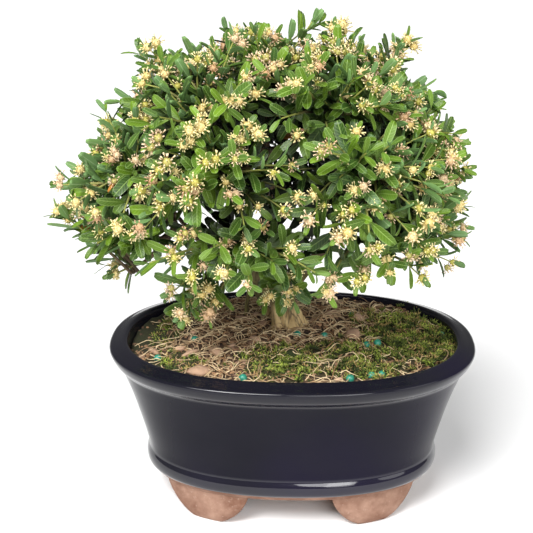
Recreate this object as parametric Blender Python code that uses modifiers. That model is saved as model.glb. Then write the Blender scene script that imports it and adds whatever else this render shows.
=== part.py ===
"""A flowering boxwood bonsai: a rounded crown on a fluted trunk, in soil, in an oval glazed pot on four feet.

Lengths are in metres and +Z is up. Everything is first laid out round the pot's own centre, with the feet on
z = 0, and is moved at the end so that the origin lies under the middle of the whole plant.
"""

import math
import random

import bmesh
import bpy
from mathutils import Matrix, Vector
from mathutils.bvhtree import BVHTree

MM = 0.001
GAP = 0.3 * MM
WELD_WITHIN = 0.02 * MM

# The oval pot. Its plan is a superellipse, a little squarer than an ellipse.
POT_HALF_LENGTH = 100 * MM
POT_HALF_WIDTH = 73 * MM
PLAN_POWER = 2.3
PLAN_STEPS = 36
FLOOR_TOP = 26 * MM
UNDERSIDE = 19 * MM
# Each wall point is (inset from the plan outline, height). The outside runs up, the inside runs down.
POT_OUTSIDE = [(22.5, 19), (20.2, 21.5), (18.5, 24), (18.4, 28), (19.9, 31), (17.2, 45), (11.1, 66),
               (5.4, 82), (0.7, 87.4), (0.0, 89.6), (0.9, 91.5)]
POT_INSIDE = [(9.0, 91.5), (10.2, 89), (17.0, 66), (24.5, 36), (29, 26)]
FOOT_AT = 45 * MM
FOOT_HALF_SPAN = 22.5 * MM
FOOT_DEPTH = 13 * MM
FOOT_INSET = 22.8 * MM
FOOT_SINK = 2 * MM
FOOT_STEPS = 10
FOOT_FLAT = 1.07
FOOT_ROUND = 0.6
DRAIN_AT = 36 * MM
DRAIN_RADIUS = 6.5 * MM
SCREEN_SIDE = 20 * MM
SCREEN_THICK = 0.8 * MM
SCREEN_CELLS = 2

# The soil, mounded towards the trunk.
SOIL_EDGE = 86.2 * MM
SOIL_CROWN = 92 * MM
SOIL_HALF_LENGTH = 87 * MM
SOIL_HALF_WIDTH = 60 * MM
SOIL_RINGS = 5
SOIL_LUMPS = 0.9 * MM
PELLET_RADIUS = 2.2 * MM
SETTLE_STEPS = 12
SETTLE_SHARE = 0.9
# Where the beads of feed lie, in millimetres from the pot's centre.
PELLETS_AT = [(3, -2), (17.8, -2.3), (-53.3, -4.5), (-71.4, -24.4), (-24.5, -49.3), (-48.7, 20.4), (40.6, -10.7),
              (46.6, -9.3), (30.4, -47.5), (41.4, -43.7), (46.8, -42.2), (83.5, 13), (34.5, 28.7)]

# The trunk: fluted at the foot, dividing into leaders that carry the branches.
TRUNK_AT = Vector((-2 * MM, 14 * MM, SOIL_CROWN))
TRUNK_DEPTH = 22 * MM
TRUNK_SIDES = 14
FLUTES = 5
LEADER_SIDES = 6
BRANCH_SIDES = 4
BRANCH_TIP = 1.25 * MM
FORK = Vector((-6 * MM, 12 * MM, 111 * MM))
# Where each leader ends, and its radius at the fork.
LEADERS = {
    "left": (Vector((-62 * MM, -4 * MM, 156 * MM)), 4.4 * MM),
    "middle": (Vector((-14 * MM, 2 * MM, 196 * MM)), 5.0 * MM),
    "right": (Vector((40 * MM, 2 * MM, 162 * MM)), 4.0 * MM),
    "back": (Vector((-20 * MM, 34 * MM, 166 * MM)), 3.6 * MM),
}

# The crown is an ellipsoid that the leaf tips reach.
CROWN_CENTRE = Vector((-14 * MM, 0, 178 * MM))
CROWN_RADII = Vector((114 * MM, 92 * MM, 88 * MM))
# Tiers of leafy sprays: name, count, elevation on the crown, azimuth of the first.
TIERS = [
    ("top", 1, 90, 0),
    ("upper", 5, 49, 18),
    ("shoulder", 7, 14, 0),
    ("skirt", 6, -20, 26),
]
# Sprays that hang below the crown: name, where the tips reach.
LOW_SPRAYS = [
    ("low_front_left", Vector((-56 * MM, -46 * MM, 122 * MM))),
    ("low_front", Vector((8 * MM, -48 * MM, 121 * MM))),
    ("drooping_left", Vector((-120 * MM, -12 * MM, 120 * MM))),
]
CORE_DEPTH = 38 * MM
STEM_DEPTH = 62 * MM
CORE_HALF_DEPTH = 13 * MM
CORE_HALF_SPAN = 21 * MM
TWIGS = 4
TWIG_SPREAD = 31 * MM
TWIG_RADIUS = 0.8 * MM
TWIG_TRIES = 10
TWIG_SWING = 2.2 * MM
# Stations along a twig, as distances back from its end: two leaf pairs, and a flower head between them.
UPPER_PAIR = 4.5 * MM
SIDE_BLOOM = 8.6 * MM
LOWER_PAIR = 13.0 * MM
STATION_HALF = 0.7 * MM
LEAF_LENGTH = (14 * MM, 18 * MM)
LEAF_WIDTH_SHARE = 0.39
LEAF_RIB = 0.5 * MM
LEAF_DROOP = 0.10
LEAF_WIDEST = 0.6
LEAF_TIP_SHARE = 0.45
LEAF_OPENING = 0.98
LEAF_TRIES = 8
BLOOM_RADIUS = 5.2 * MM
SIDE_BLOOM_RADIUS = 4.2 * MM
BLOOM_LIFT = 0.5
BLOOM_HEART = 2.2 * MM
BLOOM_STALK = 2.6 * MM
GOLDEN = math.radians(137.5)
CROWN_SEED = 41


def clear_scene():
    for obj in list(bpy.data.objects):
        bpy.data.objects.remove(obj)


def collection(name):
    made = bpy.data.collections.new(name)
    bpy.context.scene.collection.children.link(made)
    return made


def material(name, colour, roughness):
    made = bpy.data.materials.new(name)
    made.use_nodes = True
    shader = made.node_tree.nodes["Principled BSDF"]
    shader.inputs["Base Color"].default_value = (*colour, 1.0)
    shader.inputs["Roughness"].default_value = roughness
    shader.inputs["Metallic"].default_value = 0.0
    return made


def mesh_object(name, points, faces, home):
    mesh = bpy.data.meshes.new(name)
    mesh.from_pydata([tuple(p) for p in points], [], faces)
    mesh.update()
    obj = bpy.data.objects.new(name, mesh)
    home.objects.link(obj)
    return obj


def settled(obj, home, finish):
    """The object's evaluated mesh as a plain object of the same name, with its modifiers used up."""
    bpy.context.view_layer.update()
    graph = bpy.context.evaluated_depsgraph_get()
    mesh = bpy.data.meshes.new_from_object(obj.evaluated_get(graph))
    name = obj.name
    bpy.data.objects.remove(obj)
    mesh.materials.clear()
    mesh.materials.append(finish)
    made = bpy.data.objects.new(name, mesh)
    home.objects.link(made)
    return made


def empty_out(group):
    for obj in list(group.objects):
        bpy.data.objects.remove(obj)
    bpy.data.collections.remove(group)


def joined(obj, repeats, home, finish, weld_within=0.0):
    """One body of obj and everything in the collection repeats, with its twin points welded if asked."""
    union = obj.modifiers.new("join", "BOOLEAN")
    union.operation = "UNION"
    union.operand_type = "COLLECTION"
    union.solver = "MANIFOLD"
    union.collection = repeats
    if weld_within > 0:
        weld = obj.modifiers.new("weld", "WELD")
        weld.merge_threshold = weld_within
    made = settled(obj, home, finish)
    empty_out(repeats)
    return made


def ring(inset, height, steps=PLAN_STEPS):
    """Points round the pot's plan outline, moved in by inset, at one height."""
    half_length = POT_HALF_LENGTH - inset
    half_width = POT_HALF_WIDTH - inset
    points = []
    for step in range(steps):
        turn = 2 * math.pi * step / steps
        c, s = math.cos(turn), math.sin(turn)
        x = math.copysign(abs(c) ** (2 / PLAN_POWER), c) * half_length
        y = math.copysign(abs(s) ** (2 / PLAN_POWER), s) * half_width
        points.append(Vector((x, y, height)))
    return points


def loft(rings):
    """Points and faces of a closed skin through rings of equal length, with a cap at each end."""
    steps = len(rings[0])
    points = [point for loop in rings for point in loop]
    faces = [list(range(steps))[::-1]]
    for level in range(len(rings) - 1):
        low, high = level * steps, (level + 1) * steps
        for step in range(steps):
            after = (step + 1) % steps
            faces += [(low + step, low + after, high + after), (low + step, high + after, high + step)]
    faces.append(list(range((len(rings) - 1) * steps, len(rings) * steps)))
    return points, faces


def wall_inset(height):
    """How far the inside of the pot's wall lies in from the plan outline at a height."""
    for (inset_a, high), (inset_b, low) in zip(POT_INSIDE, POT_INSIDE[1:]):
        if low * MM <= height <= high * MM:
            share = (high * MM - height) / ((high - low) * MM)
            return (inset_a + (inset_b - inset_a) * share) * MM
    return POT_INSIDE[-1][0] * MM


def outline_point(x, inset, side):
    """The point of the plan outline, moved in by inset, at a place along its length."""
    half_length = POT_HALF_LENGTH - inset
    half_width = POT_HALF_WIDTH - inset
    y = half_width * (1 - abs(x / half_length) ** PLAN_POWER) ** (1 / PLAN_POWER)
    return Vector((x, side * y, 0))


def foot(index, home):
    """A foot that follows the pot's outline: a half round seen from outside, flat where it stands."""
    side_x, side_y = (1, 1, -1, -1)[index], (1, -1, 1, -1)[index]
    sections = []
    for step in range(FOOT_STEPS + 1):
        share = -math.cos(math.pi * step / FOOT_STEPS)
        x = side_x * (FOOT_AT + share * FOOT_HALF_SPAN)
        drop = UNDERSIDE * min(1.0, FOOT_FLAT * max(0.0, 1 - share ** 2) ** FOOT_ROUND)
        top = UNDERSIDE + FOOT_SINK
        low = UNDERSIDE - drop
        outer = outline_point(x, FOOT_INSET, side_y)
        toe = outline_point(x, FOOT_INSET + 3.0 * MM, side_y)
        heel = outline_point(x * 0.93, FOOT_INSET + FOOT_DEPTH, side_y)
        brow = outline_point(x, FOOT_INSET + 0.6 * MM, side_y)
        sections.append([
            Vector((outer.x, outer.y, top)),
            Vector((brow.x, brow.y, top + (low - top) * 0.6)),
            Vector((toe.x, toe.y, low)),
            Vector((heel.x, heel.y, low)),
            Vector((heel.x, heel.y, top)),
        ])
    points, faces = loft(sections)
    made = mesh_object(f"foot_{index + 1}", points, faces, home)
    face_outwards(made)
    return made


def face_outwards(obj):
    mesh = bmesh.new()
    mesh.from_mesh(obj.data)
    bmesh.ops.recalc_face_normals(mesh, faces=mesh.faces)
    mesh.to_mesh(obj.data)
    mesh.free()


def drain_cutter(x, home):
    bpy.ops.mesh.primitive_cylinder_add(
        vertices=20, radius=DRAIN_RADIUS, depth=3 * (FLOOR_TOP - UNDERSIDE),
        location=(x, 0, (FLOOR_TOP + UNDERSIDE) / 2))
    cutter = bpy.context.active_object
    for group in list(cutter.users_collection):
        group.objects.unlink(cutter)
    home.objects.link(cutter)
    return cutter


def make_pot(home, clay):
    """One fired piece: body with rolled lip and foot belt, four feet, two drain holes."""
    rings = [ring(inset * MM, height * MM) for inset, height in POT_OUTSIDE + POT_INSIDE]
    points, faces = loft(rings)
    pot = mesh_object("pot", points, faces, home)
    face_outwards(pot)
    feet = collection("feet")
    for index in range(4):
        foot(index, feet)
    cutters = collection("drain_cutters")
    for side in (-1, 1):
        drain_cutter(side * DRAIN_AT, cutters)
    cut = pot.modifiers.new("drains", "BOOLEAN")
    cut.operation = "DIFFERENCE"
    cut.operand_type = "COLLECTION"
    cut.solver = "EXACT"
    cut.collection = cutters
    pot = settled(pot, home, clay)
    empty_out(cutters)
    return joined(pot, feet, home, clay)


def make_screen(side, home, plastic):
    """A square of coarse plastic mesh lying on the pot's floor over a drain hole."""
    name = "drain_screen_left" if side < 0 else "drain_screen_right"
    bpy.ops.mesh.primitive_grid_add(
        x_subdivisions=SCREEN_CELLS, y_subdivisions=SCREEN_CELLS, size=SCREEN_SIDE,
        location=(side * DRAIN_AT, 0, FLOOR_TOP + GAP + SCREEN_THICK / 2))
    grid = bpy.context.active_object
    grid.name = name
    for group in list(grid.users_collection):
        group.objects.unlink(grid)
    home.objects.link(grid)
    bpy.context.view_layer.update()
    grid.data.transform(grid.matrix_world)
    grid.matrix_world = Matrix.Identity(4)
    strands = grid.modifiers.new("strands", "WIREFRAME")
    strands.thickness = SCREEN_THICK
    strands.use_even_offset = True
    strands.use_boundary = True
    return settled(grid, home, plastic)


def soil_height(x, y):
    """The soil's surface: low at the rim, mounded towards the trunk, with lumps and mossy swells."""
    share = min(1.0, math.hypot(x / SOIL_HALF_LENGTH, y / SOIL_HALF_WIDTH))
    mound = SOIL_EDGE + (SOIL_CROWN - SOIL_EDGE) * (1 - share ** 1.8)
    lumps = math.sin(x * 190 + 1.3) * math.sin(y * 230 + 0.4) + 0.6 * math.sin(x * 410 - y * 330)
    return mound + SOIL_LUMPS * lumps * math.sin(math.pi * min(1.0, 0.25 + 0.75 * share))


def make_soil(home, earth):
    """The root ball: it fills the pot, with a plain hole for the trunk and room for the two screens."""
    bottom = FLOOR_TOP + GAP
    heights = [bottom, 36 * MM, 66 * MM, SOIL_EDGE - 1 * MM]
    rings = [ring(wall_inset(height) + GAP, height) for height in heights]
    edge_inset = wall_inset(SOIL_EDGE) + GAP
    outer = ring(edge_inset, SOIL_EDGE)
    for level in range(SOIL_RINGS):
        scale = 1 - (level / SOIL_RINGS) ** 1.15
        inner = [(p.x * scale, p.y * scale) for p in outer]
        rings.append([Vector((x, y, soil_height(x, y))) for x, y in inner])
    points, faces = loft(rings)
    faces.pop()
    centre = len(points)
    points.append(Vector((0, 0, soil_height(0, 0))))
    last = centre - PLAN_STEPS
    faces += [(last + step, last + (step + 1) % PLAN_STEPS, centre) for step in range(PLAN_STEPS)]
    soil = mesh_object("soil", points, faces, home)
    face_outwards(soil)
    hollows = collection("soil_cutters")
    trunk_solid("trunk_hole", GAP * 1.4, 12 * MM, hollows)
    for side in (-1, 1):
        bpy.ops.mesh.primitive_cube_add(size=1, location=(side * DRAIN_AT, 0, bottom))
        block = bpy.context.active_object
        room = SCREEN_SIDE + 2 * SCREEN_THICK
        block.scale = (room, room, 2 * (SCREEN_THICK + GAP))
        for group in list(block.users_collection):
            group.objects.unlink(block)
        hollows.objects.link(block)
    cut = soil.modifiers.new("hollows", "BOOLEAN")
    cut.operation = "DIFFERENCE"
    cut.operand_type = "COLLECTION"
    cut.solver = "EXACT"
    cut.collection = hollows
    made = settled(soil, home, earth)
    empty_out(hollows)
    return made


def trunk_radius(height, turn):
    """The fluted trunk: wide and ribbed at the soil, rounder above, a plain peg below."""
    above = (height - SOIL_CROWN) / (FORK.z - SOIL_CROWN)
    if above < 0:
        return max(5.2 * MM, 10.2 * MM + (height - SOIL_CROWN) * 0.35)
    flare = 7.0 * MM + 3.2 * MM * (1 - above) ** 2
    ribs = 0.9 * MM * (1 - 0.6 * above) * math.sin(FLUTES * turn + 1.1) * min(1.0, above * 5)
    return flare + ribs


def trunk_solid(name, extra, rise, home):
    """The trunk up to the fork. The cutter for its hole is wider by extra and ends rise above the soil."""
    low = SOIL_CROWN - TRUNK_DEPTH - extra
    heights = [low, SOIL_CROWN - 8 * MM, SOIL_CROWN - 3 * MM, SOIL_CROWN, SOIL_CROWN + 4 * MM,
               SOIL_CROWN + 9 * MM, FORK.z, FORK.z + 6 * MM]
    if extra > 0:
        heights = [low, SOIL_CROWN - 8 * MM, SOIL_CROWN - 3 * MM, SOIL_CROWN, SOIL_CROWN + rise]
    rings = []
    for height in heights:
        share = max(0.0, (height - SOIL_CROWN) / (FORK.z - SOIL_CROWN))
        axis = TRUNK_AT.lerp(FORK, share)
        loop = []
        for step in range(TRUNK_SIDES):
            turn = 2 * math.pi * step / TRUNK_SIDES
            radius = trunk_radius(min(height, SOIL_CROWN) if extra > 0 else height, turn) + extra
            if height > FORK.z:
                radius *= 0.45
            loop.append(Vector((axis.x + radius * math.cos(turn), axis.y + radius * math.sin(turn), height)))
        rings.append(loop)
    points, faces = loft(rings)
    made = mesh_object(name, points, faces, home)
    face_outwards(made)
    return made


def curve_between(start, bend, end, count):
    """Points of a quadratic curve from start to end that leaves towards bend."""
    points = []
    for step in range(count + 1):
        t = step / count
        points.append(start * (1 - t) ** 2 + bend * 2 * t * (1 - t) + end * t ** 2)
    return points


def frame_of(direction):
    """Two unit vectors square to a direction and to each other."""
    side = direction.cross(Vector((0, 0, 1)))
    if side.length < 0.05:
        side = direction.cross(Vector((0, 1, 0)))
    side.normalize()
    return side, direction.cross(side).normalized()


def tube(name, path, radii, sides, home, turn=0.0, last=None):
    """A closed tube of rings along a path. Its last ring may be set square to a direction of its own."""
    rings = []
    for index, (point, radius) in enumerate(zip(path, radii)):
        before, after = path[max(0, index - 1)], path[min(len(path) - 1, index + 1)]
        ahead = last if last and index == len(path) - 1 else (after - before).normalized()
        side, up = frame_of(ahead)
        loop = []
        for step in range(sides):
            angle = turn + 2 * math.pi * step / sides
            loop.append(point + radius * (side * math.cos(angle) + up * math.sin(angle)))
        rings.append(loop)
    points, faces = loft(rings)
    made = mesh_object(name, points, faces, home)
    face_outwards(made)
    return made


def crown_point(direction, share):
    return CROWN_CENTRE + Vector(r * d for r, d in zip(CROWN_RADII, direction)) * share


def plan_sprays():
    """Each leafy spray's name, where its branch ends, its core's centre, and where its tips reach."""
    tips = []
    draw = random.Random(CROWN_SEED)
    for tier, count, elevation, phase in TIERS:
        for index in range(count):
            azimuth = math.radians(phase + 360 * index / count + draw.uniform(-5, 5))
            lift = math.radians(elevation)
            level = math.cos(lift)
            direction = Vector((math.cos(azimuth) * level, math.sin(azimuth) * level, math.sin(lift)))
            name = f"spray_{tier}_{index + 1}" if count > 1 else f"spray_{tier}"
            tips.append((name, crown_point(direction, draw.uniform(0.98, 1.02)), CROWN_CENTRE))
    for name, tip in LOW_SPRAYS:
        tips.append((f"spray_{name}", tip, FORK + Vector((0, 0, 45 * MM))))
    sprays = []
    for index, (name, tip, heart) in enumerate(tips):
        inward = (heart - tip).normalized()
        sprays.append({
            "name": name,
            "tip": tip,
            "core": tip + inward * CORE_DEPTH,
            "base": tip + inward * STEM_DEPTH,
            "draw": random.Random(CROWN_SEED * 100 + index),
        })
    return sprays


def leader_paths():
    paths = {}
    for name, (end, _) in LEADERS.items():
        start = FORK - Vector((0, 0, 4 * MM))
        bend = start.lerp(end, 0.35)
        bend.z = start.z + (end.z - start.z) * 0.62
        paths[name] = curve_between(start, bend, end, 6)
    return paths


def nearest_start(paths, base):
    """The leader point that a branch to base leaves from: near, and lower than where it goes."""
    best = None
    for name, path in paths.items():
        for index in range(2, len(path)):
            rise = base.z - path[index].z
            cost = (base - path[index]).length + (0.6 * abs(rise - 12 * MM) if rise < 12 * MM else 0)
            if best is None or cost < best[0]:
                best = (cost, name, index)
    return best[1], best[2]


def make_trunk(sprays, home, bark):
    """Trunk, leaders and one branch to each spray, as one body of wood."""
    limbs = collection("limbs")
    paths = leader_paths()
    for name, (_, radius) in LEADERS.items():
        path = paths[name]
        radii = [radius + (2.0 * MM - radius) * index / (len(path) - 1) for index in range(len(path))]
        tube(f"leader_{name}", path, radii, LEADER_SIDES, limbs, turn=0.2)
    for spray in sprays:
        name, index = nearest_start(paths, spray["base"])
        start = paths[name][index].lerp(paths[name][index - 1], 0.3)
        stem = (spray["core"] - spray["base"]).normalized()
        bend = spray["base"] - stem * ((spray["base"] - start).length * 0.45)
        path = curve_between(start, bend, spray["base"], 2)
        radii = [1.9 * MM, 1.6 * MM, BRANCH_TIP]
        tube(f"branch_{spray['name']}", path, radii, BRANCH_SIDES, limbs, turn=0.35, last=stem)
    trunk = trunk_solid("trunk_and_branches", 0.0, 0.0, home)
    return joined(trunk, limbs, home, bark)


class Space:
    """Keeps what has been placed, so that nothing new crosses it."""

    def __init__(self):
        self.taken = []
        self.cores = []

    def add(self, owner, points, faces):
        centre = sum(points, Vector()) / len(points)
        reach = max((p - centre).length for p in points)
        self.taken.append((owner, centre, reach, BVHTree.FromPolygons(points, faces)))

    def add_core(self, owner, centre, out):
        self.cores.append((owner, centre, out))

    def in_core(self, point, centre, out):
        deep = (point - centre).dot(out)
        wide = ((point - centre) - out * deep).length
        return (deep / CORE_HALF_DEPTH) ** 2 + (wide / CORE_HALF_SPAN) ** 2 < 1.2

    def is_free(self, owner, points, faces, own_core=True):
        """Whether a shape keeps clear of every core and of all that has another owner."""
        centre = sum(points, Vector()) / len(points)
        reach = max((p - centre).length for p in points)
        for other, middle, out in self.cores:
            if (other != owner[0] or own_core) and any(self.in_core(p, middle, out) for p in points):
                return False
        tree = BVHTree.FromPolygons(points, faces)
        for other, middle, radius, shape in self.taken:
            if other != owner and (middle - centre).length < radius + reach and tree.overlap(shape):
                return False
        return True


def tube_skin(path, radius, sides=4):
    """Points and faces of a straight closed tube, for trying a place."""
    direction = (path[-1] - path[0]).normalized()
    side, up = frame_of(direction)
    rings = []
    for point in path:
        turns = [2 * math.pi * step / sides for step in range(sides)]
        rings.append([point + radius * (side * math.cos(turn) + up * math.sin(turn)) for turn in turns])
    return loft(rings)


def raise_leaf(points, faces, base, root, along, face, length, swell=1.0):
    """Raises a boxwood leaf from a square base loop: oblong, blunt, thick at the rib, curving gently back."""
    right = face.cross(along).normalized()
    half_width = length * LEAF_WIDTH_SHARE / 2 * swell
    rib = LEAF_RIB * swell
    middle = root + along * (length * LEAF_WIDEST) - face * (LEAF_DROOP * length * LEAF_WIDEST ** 2)
    tip = root + along * length - face * (LEAF_DROOP * length)
    first = len(points)
    points += [middle - face * rib, middle + right * half_width, middle + face * rib,
               middle - right * half_width, tip - right * half_width * LEAF_TIP_SHARE,
               tip + right * half_width * LEAF_TIP_SHARE]
    low, right_edge, high, left_edge, tip_left, tip_right = range(first, first + 6)
    ring_points = [low, right_edge, high, left_edge]
    for step in range(4):
        after = (step + 1) % 4
        faces.append((base[step], base[after], ring_points[after]))
        faces.append((base[step], ring_points[after], ring_points[step]))
    faces += [(high, left_edge, tip_left), (high, tip_left, tip_right), (high, tip_right, right_edge),
              (low, tip_left, left_edge), (low, tip_right, tip_left), (low, right_edge, tip_right)]


def leaf_guard(root, along, face, length):
    """A slightly larger leaf without its foot, for trying a place."""
    right = face.cross(along).normalized()
    start = root + along * length * 0.2
    points = [start - right * 0.9 * MM - face * LEAF_RIB, start + right * 0.9 * MM - face * LEAF_RIB,
              start + right * 0.9 * MM + face * LEAF_RIB, start - right * 0.9 * MM + face * LEAF_RIB]
    faces = [(0, 3, 2, 1)]
    raise_leaf(points, faces, (0, 1, 2, 3), root, along, face, length * 1.02, 1.16)
    return points, faces


def raise_bloom(points, faces, base, foot_point, aim, radius):
    """Raises a flower head from a square base loop: a small heart with four rays round and one on top."""
    centre = foot_point + aim * BLOOM_STALK
    first = len(points)
    for corner in base:
        out = points[corner] - foot_point
        points.append(centre + (out - aim * out.dot(aim)).normalized() * BLOOM_HEART)
    points.append(centre + aim * radius)
    equator, top = list(range(first, first + 4)), first + 4
    for step in range(4):
        after = (step + 1) % 4
        outward = ((points[equator[step]] + points[equator[after]]) / 2 - centre).normalized()
        points.append(centre + (outward + aim * BLOOM_LIFT).normalized() * radius)
        peak = len(points) - 1
        faces += [(base[step], base[after], equator[after]), (base[step], equator[after], equator[step])]
        faces += [(equator[step], equator[after], peak), (equator[after], top, peak)]
        faces.append((top, equator[step], peak))


def bloom_guard(base_points, foot_point, aim, radius):
    """A closed shape just round a flower head, for trying a place."""
    centre = foot_point + aim * BLOOM_STALK
    rings = [[], []]
    for step in range(4):
        outward = (base_points[step] + base_points[(step + 1) % 4]) / 2 - foot_point
        outward = (outward - aim * outward.dot(aim)).normalized()
        rings[0].append(centre + outward * (BLOOM_HEART + GAP) - aim * GAP)
        rings[1].append(centre + (outward + aim * BLOOM_LIFT).normalized() * (radius + GAP))
    rings.append([centre + aim * (radius + GAP) + (point - centre) * 0.02 for point in rings[1]])
    return loft(rings)


def twig_ways(spray):
    """Where the spray's twigs end: fanned out over the crown's surface round the spray's own tip."""
    out = (spray["tip"] - spray["core"]).normalized()
    side, up = frame_of(out)
    turn_by = spray["draw"].uniform(0, 2 * math.pi)
    depth = (spray["tip"] - spray["core"]).length
    for index in range(TWIGS):
        spread = TWIG_SPREAD * math.sqrt((index + 0.45) / TWIGS)
        turn = index * GOLDEN + turn_by
        reach = depth * (1 - 0.30 * (spread / TWIG_SPREAD) ** 2) - BLOOM_STALK - BLOOM_RADIUS
        yield (out * reach + (side * math.cos(turn) + up * math.sin(turn)) * spread), turn


def plan_twigs(sprays, space):
    """Settles every spray's stem and twigs before any leaf, each clear of the others."""
    for spray in sprays:
        space.add_core(spray["name"], spray["core"], (spray["tip"] - spray["core"]).normalized())
    for spray in sprays:
        stem = [spray["base"], spray["core"]]
        space.add((spray["name"], "stem"), *tube_skin(stem, BRANCH_TIP + GAP))
    for spray in sprays:
        spray["twigs"] = []
        draw = spray["draw"]
        for number, (way, turn) in enumerate(twig_ways(spray)):
            for attempt in range(TWIG_TRIES):
                swing = Vector([draw.uniform(-1, 1) for _ in range(3)]) * (attempt * TWIG_SWING)
                end = spray["core"] + (way + swing).normalized() * way.length
                start = spray["core"] + (end - spray["core"]) * 0.2
                owner = (spray["name"], number)
                skin = tube_skin([start, end], TWIG_RADIUS + 2 * GAP)
                if space.is_free(owner, *skin, own_core=False):
                    space.add(owner, *skin)
                    spray["twigs"].append({"owner": owner, "start": start, "end": end, "turn": turn})
                    break


def leaf_way(direction, away, opening, roll):
    """A leaf's own direction and upper face, opened away from its twig and rolled a little about itself."""
    along = direction * math.cos(opening) + away * math.sin(opening)
    face = direction * math.sin(opening) - away * math.cos(opening)
    return along, (face + along.cross(face) * roll).normalized()


def dress_twig(twig, space, draw, with_side_bloom):
    """One twig as a single closed skin, with leaf pairs and flower heads raised from its sides."""
    direction = (twig["end"] - twig["start"]).normalized()
    length = (twig["end"] - twig["start"]).length
    side, up = frame_of(direction)
    side = side * math.cos(twig["turn"]) + up * math.sin(twig["turn"])
    up = direction.cross(side)
    normals = [side, up, -side, -up]
    stations = [("pair", LOWER_PAIR, (0, 2)), ("bloom", SIDE_BLOOM, (1,)), ("pair", UPPER_PAIR, (1, 3))]
    if not with_side_bloom:
        stations.pop(1)
    distances, spots = [0.0], {}
    for kind, back, faces_used in stations:
        if length - back - STATION_HALF < CORE_HALF_DEPTH * 0.75:
            continue
        spots[len(distances)] = (kind, length - back, faces_used)
        distances += [length - back - STATION_HALF, length - back + STATION_HALF]
    distances.append(length)
    points, faces = [], []
    for distance in distances:
        for step in range(4):
            corner = (normals[step] + normals[(step + 1) % 4]) * TWIG_RADIUS * 0.7
            points.append(twig["start"] + direction * distance + corner)
    faces.append((3, 2, 1, 0))
    counts = {"pair": 0, "bloom": 0}
    for level in range(len(distances) - 1):
        low, high = 4 * level, 4 * level + 4
        kind, middle, faces_used = spots.get(level, ("plain", 0, ()))
        for number in range(4):
            before = (number + 3) % 4
            base = (low + before, low + number, high + number, high + before)
            root = twig["start"] + direction * middle + normals[number] * TWIG_RADIUS * 0.7
            if number in faces_used and raise_from(twig, space, draw, kind, points, faces, base, root,
                                                   direction, normals[number]):
                counts[kind] += 1
            else:
                faces.append(base)
    top = tuple(range(len(distances) * 4 - 4, len(distances) * 4))
    guard = bloom_guard([points[corner] for corner in top], twig["end"], direction, BLOOM_RADIUS)
    if space.is_free(twig["owner"], *guard):
        raise_bloom(points, faces, top, twig["end"], direction, BLOOM_RADIUS)
        space.add((twig["owner"], "tip"), *guard)
        counts["bloom"] += 1
    else:
        faces.append(top)
    return points, faces, counts


def raise_from(twig, space, draw, kind, points, faces, base, root, direction, away):
    """Raises a leaf or a flower head where it fits, turning it a little until it does."""
    if kind == "bloom":
        guard = bloom_guard([points[corner] for corner in base], root, away, SIDE_BLOOM_RADIUS)
        if not space.is_free(twig["owner"], *guard):
            return False
        raise_bloom(points, faces, base, root, away, SIDE_BLOOM_RADIUS)
        space.add((twig["owner"], len(points)), *guard)
        return True
    for attempt in range(LEAF_TRIES):
        opening = LEAF_OPENING + draw.uniform(-0.12, 0.12) + 0.11 * attempt * (-1) ** attempt
        roll = draw.uniform(-0.25, 0.25)
        leaf_length = draw.uniform(*LEAF_LENGTH) * (1 - 0.03 * attempt)
        along, face = leaf_way(direction, away, opening, roll)
        guard = leaf_guard(root, along, face, leaf_length)
        if space.is_free(twig["owner"], *guard):
            raise_leaf(points, faces, base, root, along, face, leaf_length)
            space.add((twig["owner"], len(points)), *guard)
            return True
    return False


def make_spray(spray, space, home, green):
    """A leafy spray: stem, dense heart, and twigs with opposite leaves and flower heads."""
    repeats = collection(f"{spray['name']}_repeats")
    stem = (spray["core"] - spray["base"]).normalized()
    core = lumpy_core(spray["name"], spray["core"], stem, spray["draw"], home)
    tube("stem", [spray["base"] + stem * GAP, spray["core"]], [BRANCH_TIP, BRANCH_TIP], 4, repeats)
    counts = {"pair": 0, "bloom": 0}
    for number, twig in enumerate(spray["twigs"]):
        points, faces, made = dress_twig(twig, space, spray["draw"], number % 2 == 0)
        mesh_object("twig", points, faces, repeats)
        for kind in counts:
            counts[kind] += made[kind]
    joined(core, repeats, home, green, WELD_WITHIN)
    return counts


def lumpy_core(name, centre, out, draw, home):
    """The dense dark heart of a spray, flatter than wide, which the twigs and leaves stand out of."""
    side, up = frame_of(out)
    mesh = bmesh.new()
    bmesh.ops.create_icosphere(mesh, subdivisions=1, radius=1)
    for vertex in mesh.verts:
        across, above, deep = vertex.co * draw.uniform(0.84, 1.04)
        vertex.co = centre + (side * across + up * above) * CORE_HALF_SPAN + out * (deep * CORE_HALF_DEPTH)
    made = bpy.data.meshes.new(name)
    mesh.to_mesh(made)
    mesh.free()
    obj = bpy.data.objects.new(name, made)
    home.objects.link(obj)
    return obj


def make_pellets(home, soil, feed):
    """Beads of slow release feed lying on the soil, each just clear of it."""
    surface = BVHTree.FromObject(soil, bpy.context.evaluated_depsgraph_get())
    for index, (x, y) in enumerate(PELLETS_AT):
        x, y = x * MM, y * MM
        centre = Vector((x, y, soil_height(x, y) + PELLET_RADIUS))
        for _ in range(SETTLE_STEPS):
            distance = surface.find_nearest(centre)[3]
            centre.z += (PELLET_RADIUS + GAP - distance) * SETTLE_SHARE
        mesh = bmesh.new()
        bmesh.ops.create_uvsphere(mesh, u_segments=7, v_segments=4, radius=PELLET_RADIUS)
        bmesh.ops.translate(mesh, verts=mesh.verts, vec=centre)
        data = bpy.data.meshes.new(f"pellet_{index + 1:02d}")
        mesh.to_mesh(data)
        mesh.free()
        data.materials.append(feed)
        home.objects.link(bpy.data.objects.new(data.name, data))


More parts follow.
